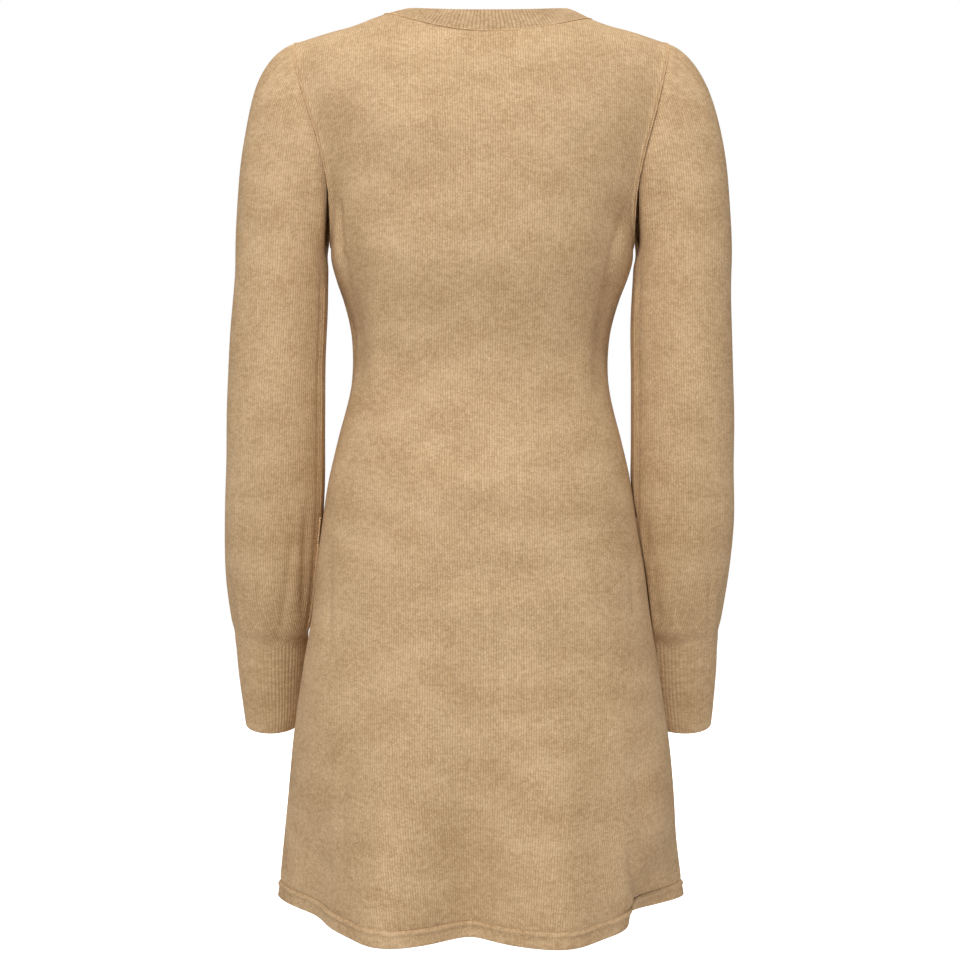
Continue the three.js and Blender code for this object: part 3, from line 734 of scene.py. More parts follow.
def knit_material(name, colours, groove, relief, shade_tint=1.0):
    """Heathered yarn knitted in columns of V-shaped stitches, read from the stitch counts, with painted shade in the
    grooves between the columns and between the stitch legs.
    """
    material = bpy.data.materials.new(name)
    material.use_nodes = True
    tree = material.node_tree
    link = tree.links.new
    shader = tree.nodes["Principled BSDF"]
    shader.location = (1500, 0)
    tree.nodes["Material Output"].location = (1850, 0)

    stitches = node_at(tree, "ShaderNodeUVMap", -1500, 0, uv_map="stitches")
    parts = node_at(tree, "ShaderNodeSeparateXYZ", -1300, 0)
    link(stitches.outputs["UV"], parts.inputs[0])
    across, down = parts.outputs["X"], parts.outputs["Y"]

    # One column of stitches: two slanting legs side by side on a ridge, with a groove on
    # each side of it.
    wander = yarn_noise(tree, stitches.outputs["UV"], -1500, 400, 0.45, 0.16, 1.0, 0.5)
    wander = sum_node(tree, "MULTIPLY_ADD", -1200, 300, wander, WALE_WANDER, -WALE_WANDER / 2)
    place = sum_node(tree, "FRACT", -1100, 200, sum_node(tree, "ADD", -1150, 250, across, wander))
    from_middle = sum_node(tree, "ABSOLUTE", -900, 200, sum_node(tree, "SUBTRACT", -1000, 200, place, 0.5))
    leg_off = sum_node(tree, "MULTIPLY", -700, 300, sum_node(tree, "SUBTRACT", -800, 300, from_middle, 0.24), 4.2)
    leg = sum_node(tree, "SUBTRACT", -500, 300, 1.0, sum_node(tree, "MULTIPLY", -600, 300, leg_off, leg_off))
    leg = sum_node(tree, "MAXIMUM", -400, 300, leg, 0.0)
    slant = sum_node(tree, "MULTIPLY", -700, 100, from_middle, 1.3)
    phase = sum_node(tree, "FRACT", -500, 100, sum_node(tree, "ADD", -600, 100, down, slant))
    bow = sum_node(tree, "SUBTRACT", -300, 100, sum_node(tree, "MULTIPLY", -400, 100, phase, 2.0), 1.0)
    loop = sum_node(tree, "SUBTRACT", -100, 100, 1.0, sum_node(tree, "MULTIPLY", -200, 100, bow, bow))
    loop = sum_node(tree, "MULTIPLY", 0, 300, leg, loop)
    ridge = sum_node(tree, "MULTIPLY", -700, 450, from_middle, from_middle)
    ridge = sum_node(tree, "MULTIPLY_ADD", -500, 450, ridge, -4.0, 1.0)
    grain = sum_node(tree, "MULTIPLY_ADD", 150, 350, loop, 0.45, 0.55)
    stitch = sum_node(tree, "MULTIPLY", 300, 450, ridge, grain)
    fibres = yarn_noise(tree, stitches.outputs["UV"], -700, -600, 5.0, 6.0, 3.0, 0.7)
    height = sum_node(tree, "ADD", 500, 200, stitch, sum_node(tree, "MULTIPLY", 400, 100, fibres, 0.4))

    # The heather: every stitch has its own mix of fibres, with short flecks along the
    # courses, patches of a few stitches and slow clouds over them.
    own = node_at(tree, "ShaderNodeTexWhiteNoise", -300, -750, noise_dimensions="2D")
    cell = node_at(tree, "ShaderNodeVectorMath", -500, -750, operation="FLOOR")
    link(stitches.outputs["UV"], cell.inputs[0])
    link(cell.outputs["Vector"], own.inputs["Vector"])
    flecks = yarn_noise(tree, stitches.outputs["UV"], -700, -100, 1.3, 1.7, 2.0, 0.65)
    patches = yarn_noise(tree, stitches.outputs["UV"], -700, -250, 0.28, 0.42, 2.0, 0.55)
    clouds = yarn_noise(tree, stitches.outputs["UV"], -700, -400, 0.04, 0.05, 1.0, 0.5)
    heather = 0.5
    for k, (source, share) in enumerate(
        ((flecks, 1.1), (patches, 0.6), (clouds, 0.6), (fibres, 0.8), (own.outputs["Value"], 0.28))
    ):
        spread = sum_node(tree, "MULTIPLY_ADD", 150 * k, -250, source, share, -share / 2)
        heather = sum_node(tree, "ADD", 150 * k + 100, -150, heather, spread)
    ramp = node_at(tree, "ShaderNodeValToRGB", 900, -200)
    ramp.color_ramp.elements[0].position = 0.12
    ramp.color_ramp.elements[1].position = 0.88
    # This factor darkens the whole yarn: on the ribbed bands it is partly painted shade, darkening bands that the
    # lamps light more brightly than the cloth, and partly keeps the yarn's mean colour under their lighter painted
    # groove shade.
    ramp.color_ramp.elements[0].color = (*[c * shade_tint for c in colours.dark_yarn], 1)
    ramp.color_ramp.elements[1].color = (*[c * shade_tint for c in colours.light_yarn], 1)
    link(heather, ramp.inputs["Fac"])

    # Painted shade: the yarn colour is darkened in the grooves and between the stitch legs, by the groove value, for
    # the shade that falls in those recesses.
    shade = sum_node(tree, "MULTIPLY_ADD", 900, 100, stitch, 1.0 - groove, groove)
    shaded = node_at(tree, "ShaderNodeVectorMath", 1200, -100, operation="SCALE")
    link(ramp.outputs["Color"], shaded.inputs[0])
    link(shade, shaded.inputs["Scale"])
    link(shaded.outputs["Vector"], shader.inputs["Base Color"])

    bump = node_at(tree, "ShaderNodeBump", 1200, -400)
    bump.inputs["Strength"].default_value = relief
    bump.inputs["Distance"].default_value = 0.7 * MM
    link(height, bump.inputs["Height"])
    link(bump.outputs["Normal"], shader.inputs["Normal"])

    shader.inputs["Roughness"].default_value = 0.92
    shader.inputs["Specular IOR Level"].default_value = 0.06
    shader.inputs["Sheen Weight"].default_value = 0.03
    shader.inputs["Sheen Roughness"].default_value = 0.5
    shader.inputs["Sheen Tint"].default_value = (1.0, 0.88, 0.72, 1)
    return material


def yarn_material(name, colours):
    """Plain twisted linking yarn, made a little lighter than the cloth: a painted highlight, so the raised seam loops
    read as a light line.
    """
    material = bpy.data.materials.new(name)
    material.use_nodes = True
    tree = material.node_tree
    shader = tree.nodes["Principled BSDF"]
    place = node_at(tree, "ShaderNodeTexCoord", -900, 0)
    noise = node_at(tree, "ShaderNodeTexNoise", -700, 0)
    noise.inputs["Scale"].default_value = 900
    noise.inputs["Detail"].default_value = 3
    tree.links.new(place.outputs["Object"], noise.inputs["Vector"])
    ramp = node_at(tree, "ShaderNodeValToRGB", -450, 0)
    ramp.color_ramp.elements[0].position = 0.3
    ramp.color_ramp.elements[1].position = 0.7
    # Painted highlight: the ramp is lighter than the cloth, so the loops show as a light raised line.
    ramp.color_ramp.elements[0].color = (*[1.15 * c for c in colours.dark_yarn], 1)
    ramp.color_ramp.elements[1].color = (*[0.98 * c for c in colours.light_yarn], 1)
    tree.links.new(noise.outputs["Fac"], ramp.inputs["Fac"])
    tree.links.new(ramp.outputs["Color"], shader.inputs["Base Color"])
    bump = node_at(tree, "ShaderNodeBump", -300, -300)
    bump.inputs["Strength"].default_value = 0.4
    bump.inputs["Distance"].default_value = 0.3 * MM
    tree.links.new(noise.outputs["Fac"], bump.inputs["Height"])
    tree.links.new(bump.outputs["Normal"], shader.inputs["Normal"])
    shader.inputs["Roughness"].default_value = 0.9
    shader.inputs["Specular IOR Level"].default_value = 0.18
    return material


def shared_material(name, make, *values):
    return bpy.data.materials.get(name) or make(name, *values)


def plain_knit(context):
    colours = context.scene.dress_colours
    return shared_material("camel_plain_knit", knit_material, colours, colours.groove, 0.55)


# The ribbed bands get darker copies of the yarn (the last value): partly painted shade for bands the lamps light more
# brightly than the cloth, and partly to keep the yarn's mean colour under their lighter painted groove shade.
def rib_knit(context):
    colours = context.scene.dress_colours
    return shared_material("camel_rib_knit", knit_material, colours, 0.84, 0.35, 0.85)


def neck_rib_knit(context):
    colours = context.scene.dress_colours
    return shared_material("camel_neck_rib_knit", knit_material, colours, 0.62, 0.6, 0.88)


def linking_yarn(context):
    return shared_material("camel_linking_yarn", yarn_material, context.scene.dress_colours)


# Panels: rows of points down the piece and columns across it.
PANEL_COLUMNS = 176
YOKE_ROWS = 76
SKIRT_ROWS = 170


def panel_across():
    return np.linspace(-1, 1, PANEL_COLUMNS + 1)


def yoke_courses(side, x, z):
    """Distance round the upper body from its middle, at the same level."""
    steps = 24
    shares = (np.arange(steps) + 0.5) / steps
    step = x[..., None] / steps
    at = x[..., None] * shares
    level = z[..., None]
    half_step = np.abs(step) / 2 + 1e-6
    rise = (
        yoke_depth(side, at + half_step, level) - yoke_depth(side, at - half_step, level)
    ) / (2 * half_step)
    rise = np.clip(rise, -2, 2)
    return np.sum(np.sqrt(1 + rise**2) * step, axis=-1)


def panel_points(side):
    """Outer points of the front or back, from the shoulders down, with their stitch counts."""
    across = panel_across()
    turns = np.linspace(math.pi, 0, YOKE_ROWS + 1)[:-1]
    ups = (1 - np.cos(turns)) / 2
    yoke = yoke_surface(side, *np.meshgrid(across, ups))
    shares = np.linspace(0, 1, SKIRT_ROWS + 1)
    drops = mixed(CHEST_DROP, HEM_SEAM_DROP, shares)
    skirt = body_surface(side, *np.meshgrid(across, drops))
    return np.concatenate([yoke, skirt], axis=0), len(yoke)


def from_sides(points):
    """Distances from the left and the right edge of a panel."""
    steps = np.linalg.norm(np.diff(points, axis=1), axis=-1)
    from_left = np.cumsum(np.concatenate([np.zeros((len(points), 1)), steps], axis=1), axis=1)
    return from_left, from_left[:, -1:] - from_left


def held_at_sides(points, yoke_rows, creases):
    """Creases that die out at the side seams, so that the back and front meet there."""
    held = creases.copy()
    for away in from_sides(points):
        held[yoke_rows:] *= (1 - np.exp(-((away / CREASE_END) ** 2)))[yoke_rows:]
    return held


def seam_dips(points, yoke_rows, across):
    """Relief beside the seams of a panel."""
    out = np.zeros(points.shape[:2])
    for away in from_sides(points):
        side_seam = -SEAM_DIP["deep"] * np.exp(-((away / SEAM_DIP["spread"]) ** 2))
        welt = ARMHOLE_WELT["rise"] * np.exp(
            -(((away - ARMHOLE_WELT["away"]) / ARMHOLE_WELT["spread"]) ** 2)
        )
        welt -= ARMHOLE_WELT["dip"] * np.exp(-((away / 1.2) ** 2))
        out[yoke_rows:] += side_seam[yoke_rows:]
        out[:yoke_rows] += welt[:yoke_rows]
    from_top = down_columns(points)
    shoulder = smooth(np.abs(across), NECK_SHARE, NECK_SHARE + 0.03)
    out -= 0.4 * shoulder * np.exp(-((from_top / 1.6) ** 2))
    from_hem = from_top[-1:] - from_top
    out -= HEM_SHADOW["deep"] * np.exp(-((from_hem / HEM_SHADOW["spread"]) ** 2))
    return out


class DRESS_OT_panels(bpy.types.Operator):
    """Back and front of the dress, from the hem seam up to the neck and shoulders"""

    bl_idname = "dress.panels"
    bl_label = "Back and Front"

    def execute(self, context):
        sizes = context.scene.dress_sizes
        across = panel_across()
        for side, creases, seed in (("back", BACK_CREASES, 0.7), ("front", FRONT_CREASES, 2.9)):
            points, yoke_rows = panel_points(side)
            normals = outwards(points, np.array([0.0, 0.0, 0.0]))
            wide = along_rows(points)
            wide[:yoke_rows] = yoke_courses(side, points[:yoke_rows, :, 0], points[:yoke_rows, :, 2])
            tall = down_columns(points)
            tall = tall - tall[yoke_rows : yoke_rows + 1]
            uv = np.stack([wide * MM / sizes.wale, -tall * MM / sizes.course], axis=-1)
            calm = np.sin(np.pi * (across + 1) / 2) ** 0.5
            relief = held_at_sides(points, yoke_rows, body_creases(points, creases))
            relief += unevenness(points, seed) * calm
            relief += seam_dips(points, yoke_rows, across)
            points = swayed(points + normals * relief[..., None], "body")
            node = f"{side}_panel"
            piece = grid_piece(f"{node}_knit", points, uv, thickness=sizes.cloth)
            finished(piece, node, plain_knit(context))
        return {"FINISHED"}


SLEEVE_COLUMNS = 150
CAP_ROWS = 62
ARM_ROWS = 110


def sleeve_points(hand, side):
    """Outer points of a sleeve from the armhole down, all round from the seam."""
    turns = np.linspace(0, 2 * math.pi, SLEEVE_COLUMNS + 1)
    shares = np.linspace(0, 1, CAP_ROWS + 1)[:-1]
    cap = cap_surface(hand, *np.meshgrid(turns, shares))
    drops = np.linspace(SLEEVE["drop"][0], SLEEVE["drop"][-1], ARM_ROWS + 1)
    arm = sleeve_surface(hand, *np.meshgrid(turns, drops))
    return np.concatenate([cap, arm], axis=0), turns


def sleeve_stitches(points):
    """Distances round and down a sleeve. Above the arm the courses stay level, so the seam
    cuts across the columns of stitches."""
    wide, tall = along_rows(points), down_columns(points)
    tall = tall - tall[CAP_ROWS]
    cap = points[: CAP_ROWS + 1]
    middle = SLEEVE_COLUMNS // 2
    level = cap[..., 2]
    columns = np.arange(SLEEVE_COLUMNS + 1)
    round_cap = np.zeros_like(level)
    for step in (-1, 1):
        last = None
        for k in range(middle, SLEEVE_COLUMNS // 2 + step * (middle + 1), step):
            here = [np.interp(level, cap[::-1, k, 2], cap[::-1, k, axis]) for axis in (0, 1)]
            if last is not None:
                beyond = (columns - k) * step >= 0
                round_cap += step * beyond * np.hypot(here[0] - last[0], here[1] - last[1])
            last = here
    wide[:CAP_ROWS] = round_cap[:CAP_ROWS]
    tall[:CAP_ROWS] = (level[CAP_ROWS] - level)[:CAP_ROWS]
    return wide, tall


def sleeve_relief(points, turns, hand, seed):
    """Folds, seam and swells of a sleeve, in millimetres out of the cloth."""
    drop = -points[..., 2]
    degrees = (np.degrees(turns) + 180) % 360 - 180
    round_mm = degrees * 0.75
    round_mm = np.broadcast_to(round_mm, drop.shape)
    out = unevenness(points, seed)
    rows = SLEEVE_CREASES[hand]
    for k in range(len(rows["round1"])):
        out = out + rows["rise"][k] * crease(
            round_mm, drop,
            rows["round1"][k] * 0.75, rows["drop1"][k],
            rows["round2"][k] * 0.75, rows["drop2"][k], rows["spread"][k],
        )
    seam_at = SLEEVE_SEAM["round"] * 0.75
    welt_at = SLEEVE_SEAM["welt_round"] * 0.75
    begun = smooth(drop, 215, 260)
    out = out - begun * SLEEVE_SEAM["deep"] * np.exp(-(((round_mm - seam_at) / SLEEVE_SEAM["spread"]) ** 2))
    out = out + begun * SLEEVE_SEAM["welt"] * np.exp(-(((round_mm - welt_at) / 4.0) ** 2))
    return out


class DRESS_OT_sleeves(bpy.types.Operator):
    """Both sleeves, from the armhole seam to the cuff"""

    bl_idname = "dress.sleeves"
    bl_label = "Sleeves"

    def execute(self, context):
        sizes = context.scene.dress_sizes
        for hand, side, seed in (("left", 1, 1.3), ("right", -1, 4.1)):
            points, turns = sleeve_points(hand, side)
            middle = points.mean(axis=1, keepdims=True)
            normals = outwards(points, middle)
            wide, tall = sleeve_stitches(points)
            uv = np.stack([wide * MM / sizes.wale, -tall * MM / sizes.course], axis=-1)
            relief = sleeve_relief(points, turns, hand, seed)
            from_armhole = down_columns(points)
            low = (1 + np.cos(turns)) / 2
            sunk = mixed(SLEEVE_TUCK["top"], SLEEVE_TUCK["underarm"], low)
            reach = mixed(SLEEVE_TUCK["top_spread"], SLEEVE_TUCK["underarm_spread"], low)
            relief = relief - sunk * np.exp(-((from_armhole / reach) ** 2))
            to_cuff = from_armhole[-1:] - from_armhole
            relief[:, -1] = relief[:, 0]
            points = points + normals * relief[..., None]
            drop = np.clip(-points[..., 2], CUFF["drop"][0] - 40, CUFF["drop"][0])
            on_cuff = section(CUFF, drop, np.broadcast_to(turns, drop.shape), CUFF_FLARE["rise"], SLEEVE_FULLER[hand])
            on_cuff[..., 2] = points[..., 2]
            points = mixed(points, on_cuff, np.exp(-((to_cuff / CUFF_JOIN) ** 2))[..., None])
            points[:, -1] = points[:, 0]
            points = placed(clear_of_skirt(points, side), side)
            self.seam_loops(context, hand, points)
            node = f"sleeve_{hand}"
            piece = grid_piece(f"{node}_knit", points, uv, thickness=sizes.cloth)
            finished(piece, node, plain_knit(context))
        return {"FINISHED"}

    def seam_loops(self, context, hand, points):
        """Loops of the seam down the sleeve, bolder where the sleeve lies on the skirt."""
        drop = -points[:, 0, 2]
        low = smooth(drop, SLEEVE_LOOPS["bold"], SLEEVE_LOOPS["bold"] + 50)
        turned = SLEEVE_LOOPS["turned"] * low if hand == "left" else 0 * low
        column = (SLEEVE_LOOPS["round"] + turned) / 360 * SLEEVE_COLUMNS
        whole = column.astype(int)
        rows = np.arange(len(points))
        line = mixed(points[rows, whole], points[rows, whole + 1], (column - whole)[:, None])
        out = line - points.mean(axis=1)
        out[:, 2] = 0
        out /= np.linalg.norm(out, axis=-1, keepdims=True)
        yarn = linking_yarn(context)
        for k, (start, end, size, rise) in enumerate((
            (SLEEVE_LOOPS["from"], SLEEVE_LOOPS["bold"], (1.0, 0.7, 0.5), 0.0),
            (SLEEVE_LOOPS["bold"], SLEEVE_LOOPS["until"], (1.2, 1.7, 1.0), 0.3),
        )):
            span = (drop >= start) & (drop <= end)
            loops_along(
                f"sleeve_seam_{hand}_{k + 1}", (line + out * rise)[span], out[span],
                context.scene.dress_sizes.seam_loop / MM, size, yarn,
            )


def ribbed(phase):
    """Relief across ribs, from 0 in a groove to 1 on a rib, once for each unit of phase."""
    wave = 0.5 - 0.5 * np.cos(2 * math.pi * phase)
    return wave**0.7


def band_rows(length, thickness, outer_rows, inner_rows, rounding):
    """Places round the section of a band: (distance along the band, depth into it, 0 to 1
    rib relief), up the outside, over the free edge and back down the inside."""
    radius = thickness / 2
    along = np.linspace(0, length - radius, outer_rows)
    rows = [(d, 0.0, 1.0) for d in along]
    for k in range(1, rounding + 1):
        angle = math.pi * k / (rounding + 1)
        rows.append((
            length - radius + radius * math.sin(angle),
            radius * (1 - math.cos(angle)),
            max(math.cos(angle / 2), 0.0) ** 2,
        ))
    rows += [(d, thickness, 0.0) for d in np.linspace(length - radius, 0, inner_rows)]
    rows.append(rows[0])
    return np.array(rows)


class DRESS_OT_cuffs(bpy.types.Operator):
    """Ribbed cuffs, from the end of the sleeve to the wrist"""

    bl_idname = "dress.cuffs"
    bl_label = "Cuffs"

    def execute(self, context):
        sizes = context.scene.dress_sizes
        thick = sizes.band_cloth / MM
        relief = sizes.rib / MM
        length = CUFF["drop"][-1] - CUFF["drop"][0]
        rows = band_rows(length, thick, 58, 9, 6)
        phases = np.linspace(0, CUFF_RIBS, CUFF_RIBS * 8 + 1)
        turns = phases / CUFF_RIBS * 2 * math.pi
        for hand, side in (("left", 1), ("right", -1)):
            turn, down = np.meshgrid(turns, rows[:, 0])
            phase, depth = np.meshgrid(phases, rows[:, 1])
            strength = np.broadcast_to(rows[:, 2, None], phase.shape)
            drop = CUFF["drop"][0] + down
            flare = CUFF_FLARE["rise"] * np.exp(-((down / CUFF_FLARE["spread"]) ** 2))
            sag = 0.35 * np.sin(3 * turn + 1.3 * side) * np.sin(down / 26)
            out = strength * relief * (ribbed(phase + 0.12 * np.sin(down / 31 + phase)) - 0.5)
            out = out * (0.2 + 0.8 * smooth(down, 0, 5))
            out = out - depth + flare + sag
            points = section(CUFF, drop, turn, out, SLEEVE_FULLER[hand])
            outer = points[:, :, :]
            outer = clear_of_skirt(outer, side)
            points = placed(outer, side)
            points[:, -1] = points[:, 0]
            points[-1] = points[0]
            uv = np.stack([phase, -down * MM / sizes.course], axis=-1)
            node = f"cuff_{hand}"
            piece = grid_piece(f"{node}_rib", points, uv)
            finished(piece, node, rib_knit(context))
        return {"FINISHED"}


def neck_frame(theta):
    """Directions at the neck seam: up the band, and square to it."""
    step = 0.01
    along = neck_seam(theta + step) - neck_seam(theta - step)
    rise = neck_edge(theta) - neck_seam(theta)
    rise = rise / np.linalg.norm(rise, axis=-1, keepdims=True)
    out = np.cross(rise, along)
    return rise, out / np.linalg.norm(out, axis=-1, keepdims=True)


class DRESS_OT_neckband(bpy.types.Operator):
    """Ribbed band round the neck, linked on to the back and front"""

    bl_idname = "dress.neckband"
    bl_label = "Neckband"

    def execute(self, context):
        sizes = context.scene.dress_sizes
        thick = sizes.band_cloth / MM
        relief = sizes.rib / MM
        phases = np.linspace(0, NECK_RIBS, NECK_RIBS * 8 + 1)
        theta = phases / NECK_RIBS * 2 * math.pi + 1e-4
        seam, edge = neck_seam(theta), neck_edge(theta)
        _, out = neck_frame(theta)
        height = np.linalg.norm(edge - seam, axis=-1)
        rows = band_rows(1.0, thick / height.mean(), 16, 6, 6)
        points = []
        for along, deep, strength in rows:
            crown = NECK_CROWN * min(along, 1) * (1 - min(along, 1))
            rib = strength * relief * (ribbed(phases) - 0.5) * min(1.0, 0.35 + along * 4)
            offset = crown + rib - deep * height.mean()
            points.append(seam + (edge - seam) * along + out * offset[:, None])
        points = np.array(points)
        points[:, -1] = points[:, 0]
        points[-1] = points[0]
        phase, up = np.meshgrid(phases, rows[:, 0])
        uv = np.stack([phase, up * height.mean() * MM / sizes.course], axis=-1)
        piece = grid_piece("neckband_rib", swayed(points, "body"), uv)
        finished(piece, "neckband", neck_rib_knit(context))
        return {"FINISHED"}


class DRESS_OT_hem_bands(bpy.types.Operator):
    """Ribbed edges below the back and front"""

    bl_idname = "dress.hem_bands"
    bl_label = "Hem Bands"

    def execute(self, context):
        sizes = context.scene.dress_sizes
        thick = sizes.band_cloth / MM
        length = HEM_DROP - HEM_SEAM_DROP
        rows = band_rows(length, thick, 14, 5, 5)
        across = np.linspace(-1, 1, 701)
        for side in ("back", "front"):
            line = []
            for down, deep, strength in rows:
                drop = np.full_like(across, HEM_SEAM_DROP + down)
                level = body_surface(side, across, drop)
                tangent = np.gradient(level, axis=0)
                out = np.stack([tangent[:, 1], -tangent[:, 0], 0 * across], axis=-1)
                out /= np.linalg.norm(out, axis=-1, keepdims=True)
                out *= np.sign(np.sum(out[:, :2] * level[:, :2]))
                welt = 1.4 * math.exp(-(((down - 2.5) / 1.7) ** 2)) + 0.35 * min(down / 2, 1.0) - 0.5
                length_mm = np.cumsum(np.linalg.norm(tangent, axis=-1))
                rib = 0.3 * (ribbed(length_mm / 2.3) - 0.5)
                offset = strength * (welt + rib) - deep
                line.append(level + out * np.asarray(offset)[:, None])
            points = np.array(line)
            points[-1] = points[0]
            wide = along_rows(points)
            wide = np.broadcast_to(wide[:1], wide.shape)
            down = np.broadcast_to(rows[:, 0, None], wide.shape)
            uv = np.stack([wide / 2.3, -down * MM / sizes.course], axis=-1)
            node = f"hem_band_{side}"
            piece = grid_piece(f"{node}_rib", swayed(points, "body"), uv, capped=True)
            finished(piece, node, rib_knit(context))
        return {"FINISHED"}


def loops_along(name, line, out, pitch, size, material):
    """A row of linking loops along a line, each a small rounded stitch."""
    deselect_all()
    bpy.ops.mesh.primitive_uv_sphere_add(segments=8, ring_count=5, radius=1)
    bead = bpy.context.object
    mesh = bead.data
    shape = np.empty(len(mesh.vertices) * 3)
    mesh.vertices.foreach_get("co", shape)
    shape = shape.reshape(-1, 3)
    faces = [list(face.vertices) for face in mesh.polygons]
    bpy.data.objects.remove(bead)
    bpy.data.meshes.remove(mesh)

    steps = np.linalg.norm(np.diff(line, axis=0), axis=-1)
    length = np.concatenate([[0], np.cumsum(steps)])
    count = int(length[-1] / pitch)
    at = (np.arange(count) + 0.5) * length[-1] / count
    spots = np.stack([np.interp(at, length, line[:, k]) for k in range(3)], axis=-1)
    outs = np.stack([np.interp(at, length, out[:, k]) for k in range(3)], axis=-1)
    outs /= np.linalg.norm(outs, axis=-1, keepdims=True)
    along = np.gradient(spots, axis=0)
    along /= np.linalg.norm(along, axis=-1, keepdims=True)
    beside = np.cross(outs, along)
    slant = math.radians(24)
    lead = along * math.cos(slant) + beside * math.sin(slant)
    side = np.cross(outs, lead)
    vertices, polygons = [], []
    for k in range(count):
        grow = 1 + 0.12 * math.sin(7.3 * k)
        placed_bead = (
            spots[k]
            + np.outer(shape[:, 0] * size[0] * grow, lead[k])
            + np.outer(shape[:, 1] * size[1] * grow, side[k])
            + np.outer(shape[:, 2] * size[2], outs[k])
        )
        polygons += [[i + k * len(shape) for i in face] for face in faces]
        vertices.append(placed_bead)
    joined = bpy.data.meshes.new(name)
    joined.from_pydata((np.concatenate(vertices) * MM).tolist(), [], polygons)
    joined.shade_smooth()
    piece = bpy.data.objects.new(name, joined)
    bpy.context.scene.collection.objects.link(piece)
    piece.data.materials.append(material)
    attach(piece, "root")
    return piece


class DRESS_OT_seams(bpy.types.Operator):
    """Linking loops along the neck seam and the armhole seams"""

    bl_idname = "dress.seams"
    bl_label = "Seam Loops"

    def execute(self, context):
        pitch = context.scene.dress_sizes.seam_loop / MM
        yarn = linking_yarn(context)
        theta = np.linspace(0, 2 * math.pi, 721) + 1e-4
        rise, out = neck_frame(theta)
        line = neck_seam(theta) - rise * 0.3 + out * 0.45
        loops_along("neck_seam_loops", swayed(line, "body"), out, pitch, (1.0, 0.6, 0.5), yarn)

        turns = np.concatenate([np.linspace(0.25, math.pi - 0.02, 200)])
        for hand, side in (("left", 1), ("right", -1)):
            for face, sign in (("back", 1), ("front", -1)):
                seam = armhole(sign * turns)
                square = np.stack(
                    [0.35 + 0 * turns, sign * np.sin(turns), -np.cos(turns) * 0.6 * 0], axis=-1
                )
                square[:, 2] = np.clip(-np.cos(turns), 0, 1)
                square /= np.linalg.norm(square, axis=-1, keepdims=True)
                seam = seam - ARMHOLE_OUT * 0.5 + square * 0.35
                seam[:, 0] *= side
                square[:, 0] *= side
                loops_along(
                    f"armhole_seam_{hand}_{face}", swayed(seam, "body"), square, pitch,
                    (1.15, 0.8, 0.6), yarn,
                )
        return {"FINISHED"}


FLOOR_LEVEL = -0.99
FLOOR_GLOW = 0.72
ROOM_LIGHT = 0.28
BACKDROP_LIGHT = 1.0
CAMERA_PLACE = (0.0, 1.5, -0.4241)
CAMERA_LENS = 61.14

# Softboxes: place, size across, power in watts, colour. Each faces the middle of the dress.
LAMPS = {
    "key_softbox": ((0.4, 2.9, 2.75), 1.2, 124.0, (1.0, 0.99, 0.97)),
    "top_softbox": ((0.1, 0.5, 1.6), 1.2, 13.0, (1.0, 1.0, 1.0)),
    "side_softbox": ((2.0, 1.2, -0.7), 1.2, 1.2, (1.0, 0.99, 0.97)),
    "far_side_softbox": ((-2.0, 1.2, -0.7), 1.2, 1.0, (1.0, 0.99, 0.97)),
    "front_softbox": ((0.0, -2.5, 0.8), 1.4, 40.0, (1.0, 0.99, 0.97)),
}


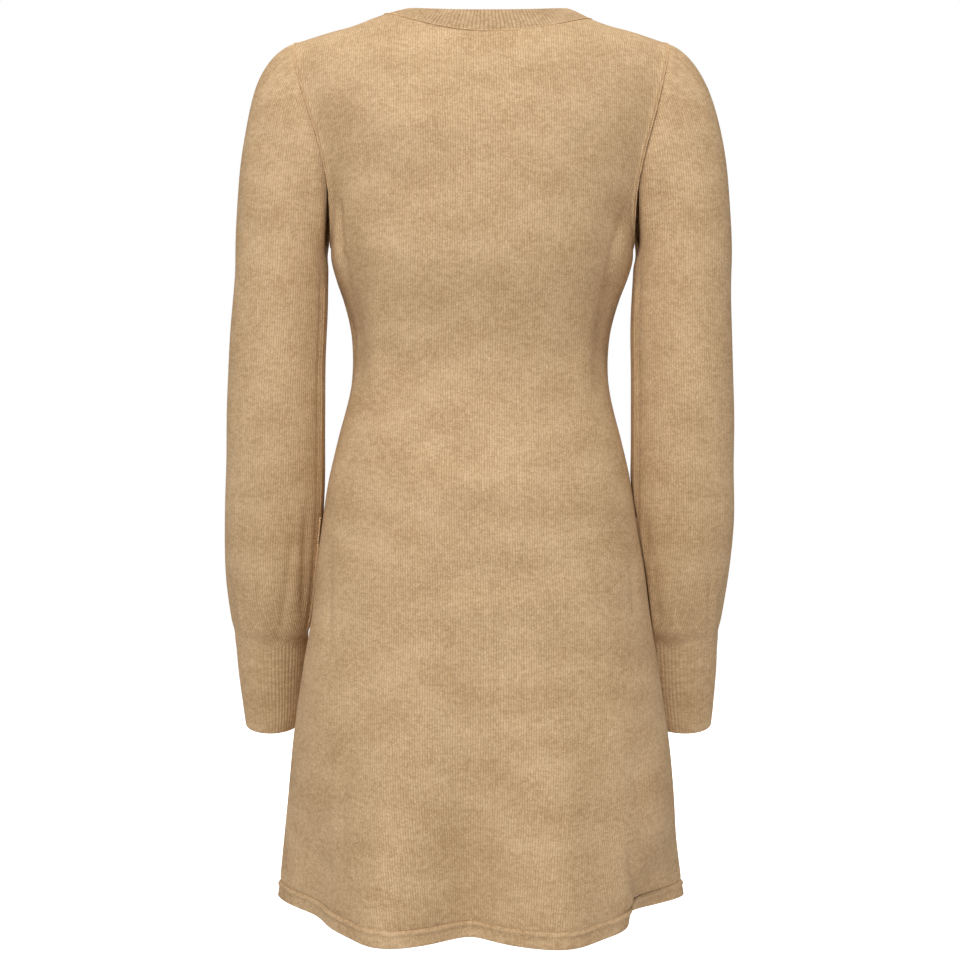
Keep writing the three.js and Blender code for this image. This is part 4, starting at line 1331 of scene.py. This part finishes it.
class DRESS_OT_stage(bpy.types.Operator):
    """Pale floor, soft studio lamps and the camera behind the dress"""

    bl_idname = "dress.stage"
    bl_label = "Stage"

    def execute(self, context):
        scene = context.scene
        deselect_all()
        bpy.ops.mesh.primitive_plane_add(size=14, location=(0, 0, FLOOR_LEVEL))
        floor = context.object
        floor.name = "floor"
        paint = bpy.data.materials.new("pale_floor")
        paint.use_nodes = True
        shader = paint.node_tree.nodes["Principled BSDF"]
        shader.inputs["Base Color"].default_value = (*scene.dress_colours.floor, 1)
        shader.inputs["Roughness"].default_value = 0.9
        shader.inputs["Emission Color"].default_value = (1, 1, 1, 1)
        seen = node_at(paint.node_tree, "ShaderNodeLightPath", -500, -300)
        glow = sum_node(paint.node_tree, "MULTIPLY", -250, -300, seen.outputs["Is Camera Ray"], FLOOR_GLOW)
        paint.node_tree.links.new(glow, shader.inputs["Emission Strength"])
        floor.data.materials.append(paint)

        world = bpy.data.worlds.new("studio")
        world.use_nodes = True
        sky = world.node_tree.nodes["Background"]
        sky.inputs["Color"].default_value = (1.0, 1.0, 1.0, 1)
        seen = world.node_tree.nodes.new("ShaderNodeLightPath")
        level = sum_node(
            world.node_tree, "MULTIPLY_ADD", -200, 0,
            seen.outputs["Is Camera Ray"], BACKDROP_LIGHT - ROOM_LIGHT, ROOM_LIGHT,
        )
        world.node_tree.links.new(level, sky.inputs["Strength"])
        scene.world = world

        aim = Vector((0, 0, -0.42))
        for name, (place, size, power, colour) in LAMPS.items():
            deselect_all()
            bpy.ops.object.light_add(type="AREA", location=place)
            lamp = context.object
            lamp.name = name
            lamp.data.shape = "SQUARE"
            lamp.data.size = size
            lamp.data.energy = power
            lamp.data.color = colour
            lamp.rotation_euler = (aim - Vector(place)).to_track_quat("-Z", "Y").to_euler()

        deselect_all()
        bpy.ops.object.camera_add(location=CAMERA_PLACE, rotation=(math.pi / 2, 0, math.pi))
        camera = context.object
        camera.name = "camera"
        camera.data.lens = CAMERA_LENS
        camera.data.sensor_width = 36
        scene.camera = camera
        scene.view_settings.view_transform = "Standard"
        return {"FINISHED"}


BUILD_ORDER = (
    DRESS_OT_stage,
    DRESS_OT_panels,
    DRESS_OT_sleeves,
    DRESS_OT_cuffs,
    DRESS_OT_neckband,
    DRESS_OT_hem_bands,
    DRESS_OT_seams,
)


class DRESS_PT_build(bpy.types.Panel):
    """Sizes, colours and steps of the dress"""

    bl_idname = "DRESS_PT_build"
    bl_label = "Sweater Dress"
    bl_space_type = "VIEW_3D"
    bl_region_type = "UI"
    bl_category = "Dress"

    def draw(self, context):
        for group in (context.scene.dress_sizes, context.scene.dress_colours):
            box = self.layout.box()
            for name in group.__annotations__:
                box.prop(group, name)
        for step in BUILD_ORDER:
            self.layout.operator(step.bl_idname)


CLASSES = (DressSizes, DressColours, *BUILD_ORDER, DRESS_PT_build)


def register():
    for item in CLASSES:
        bpy.utils.register_class(item)
    bpy.types.Scene.dress_sizes = bpy.props.PointerProperty(type=DressSizes)
    bpy.types.Scene.dress_colours = bpy.props.PointerProperty(type=DressColours)


def unregister():
    del bpy.types.Scene.dress_colours
    del bpy.types.Scene.dress_sizes
    for item in reversed(CLASSES):
        bpy.utils.unregister_class(item)


def main():
    register()
    bpy.ops.dress.stage()
    bpy.ops.dress.panels()
    bpy.ops.dress.sleeves()
    bpy.ops.dress.cuffs()
    bpy.ops.dress.neckband()
    bpy.ops.dress.hem_bands()
    bpy.ops.dress.seams()


if __name__ == "__main__":
    main()
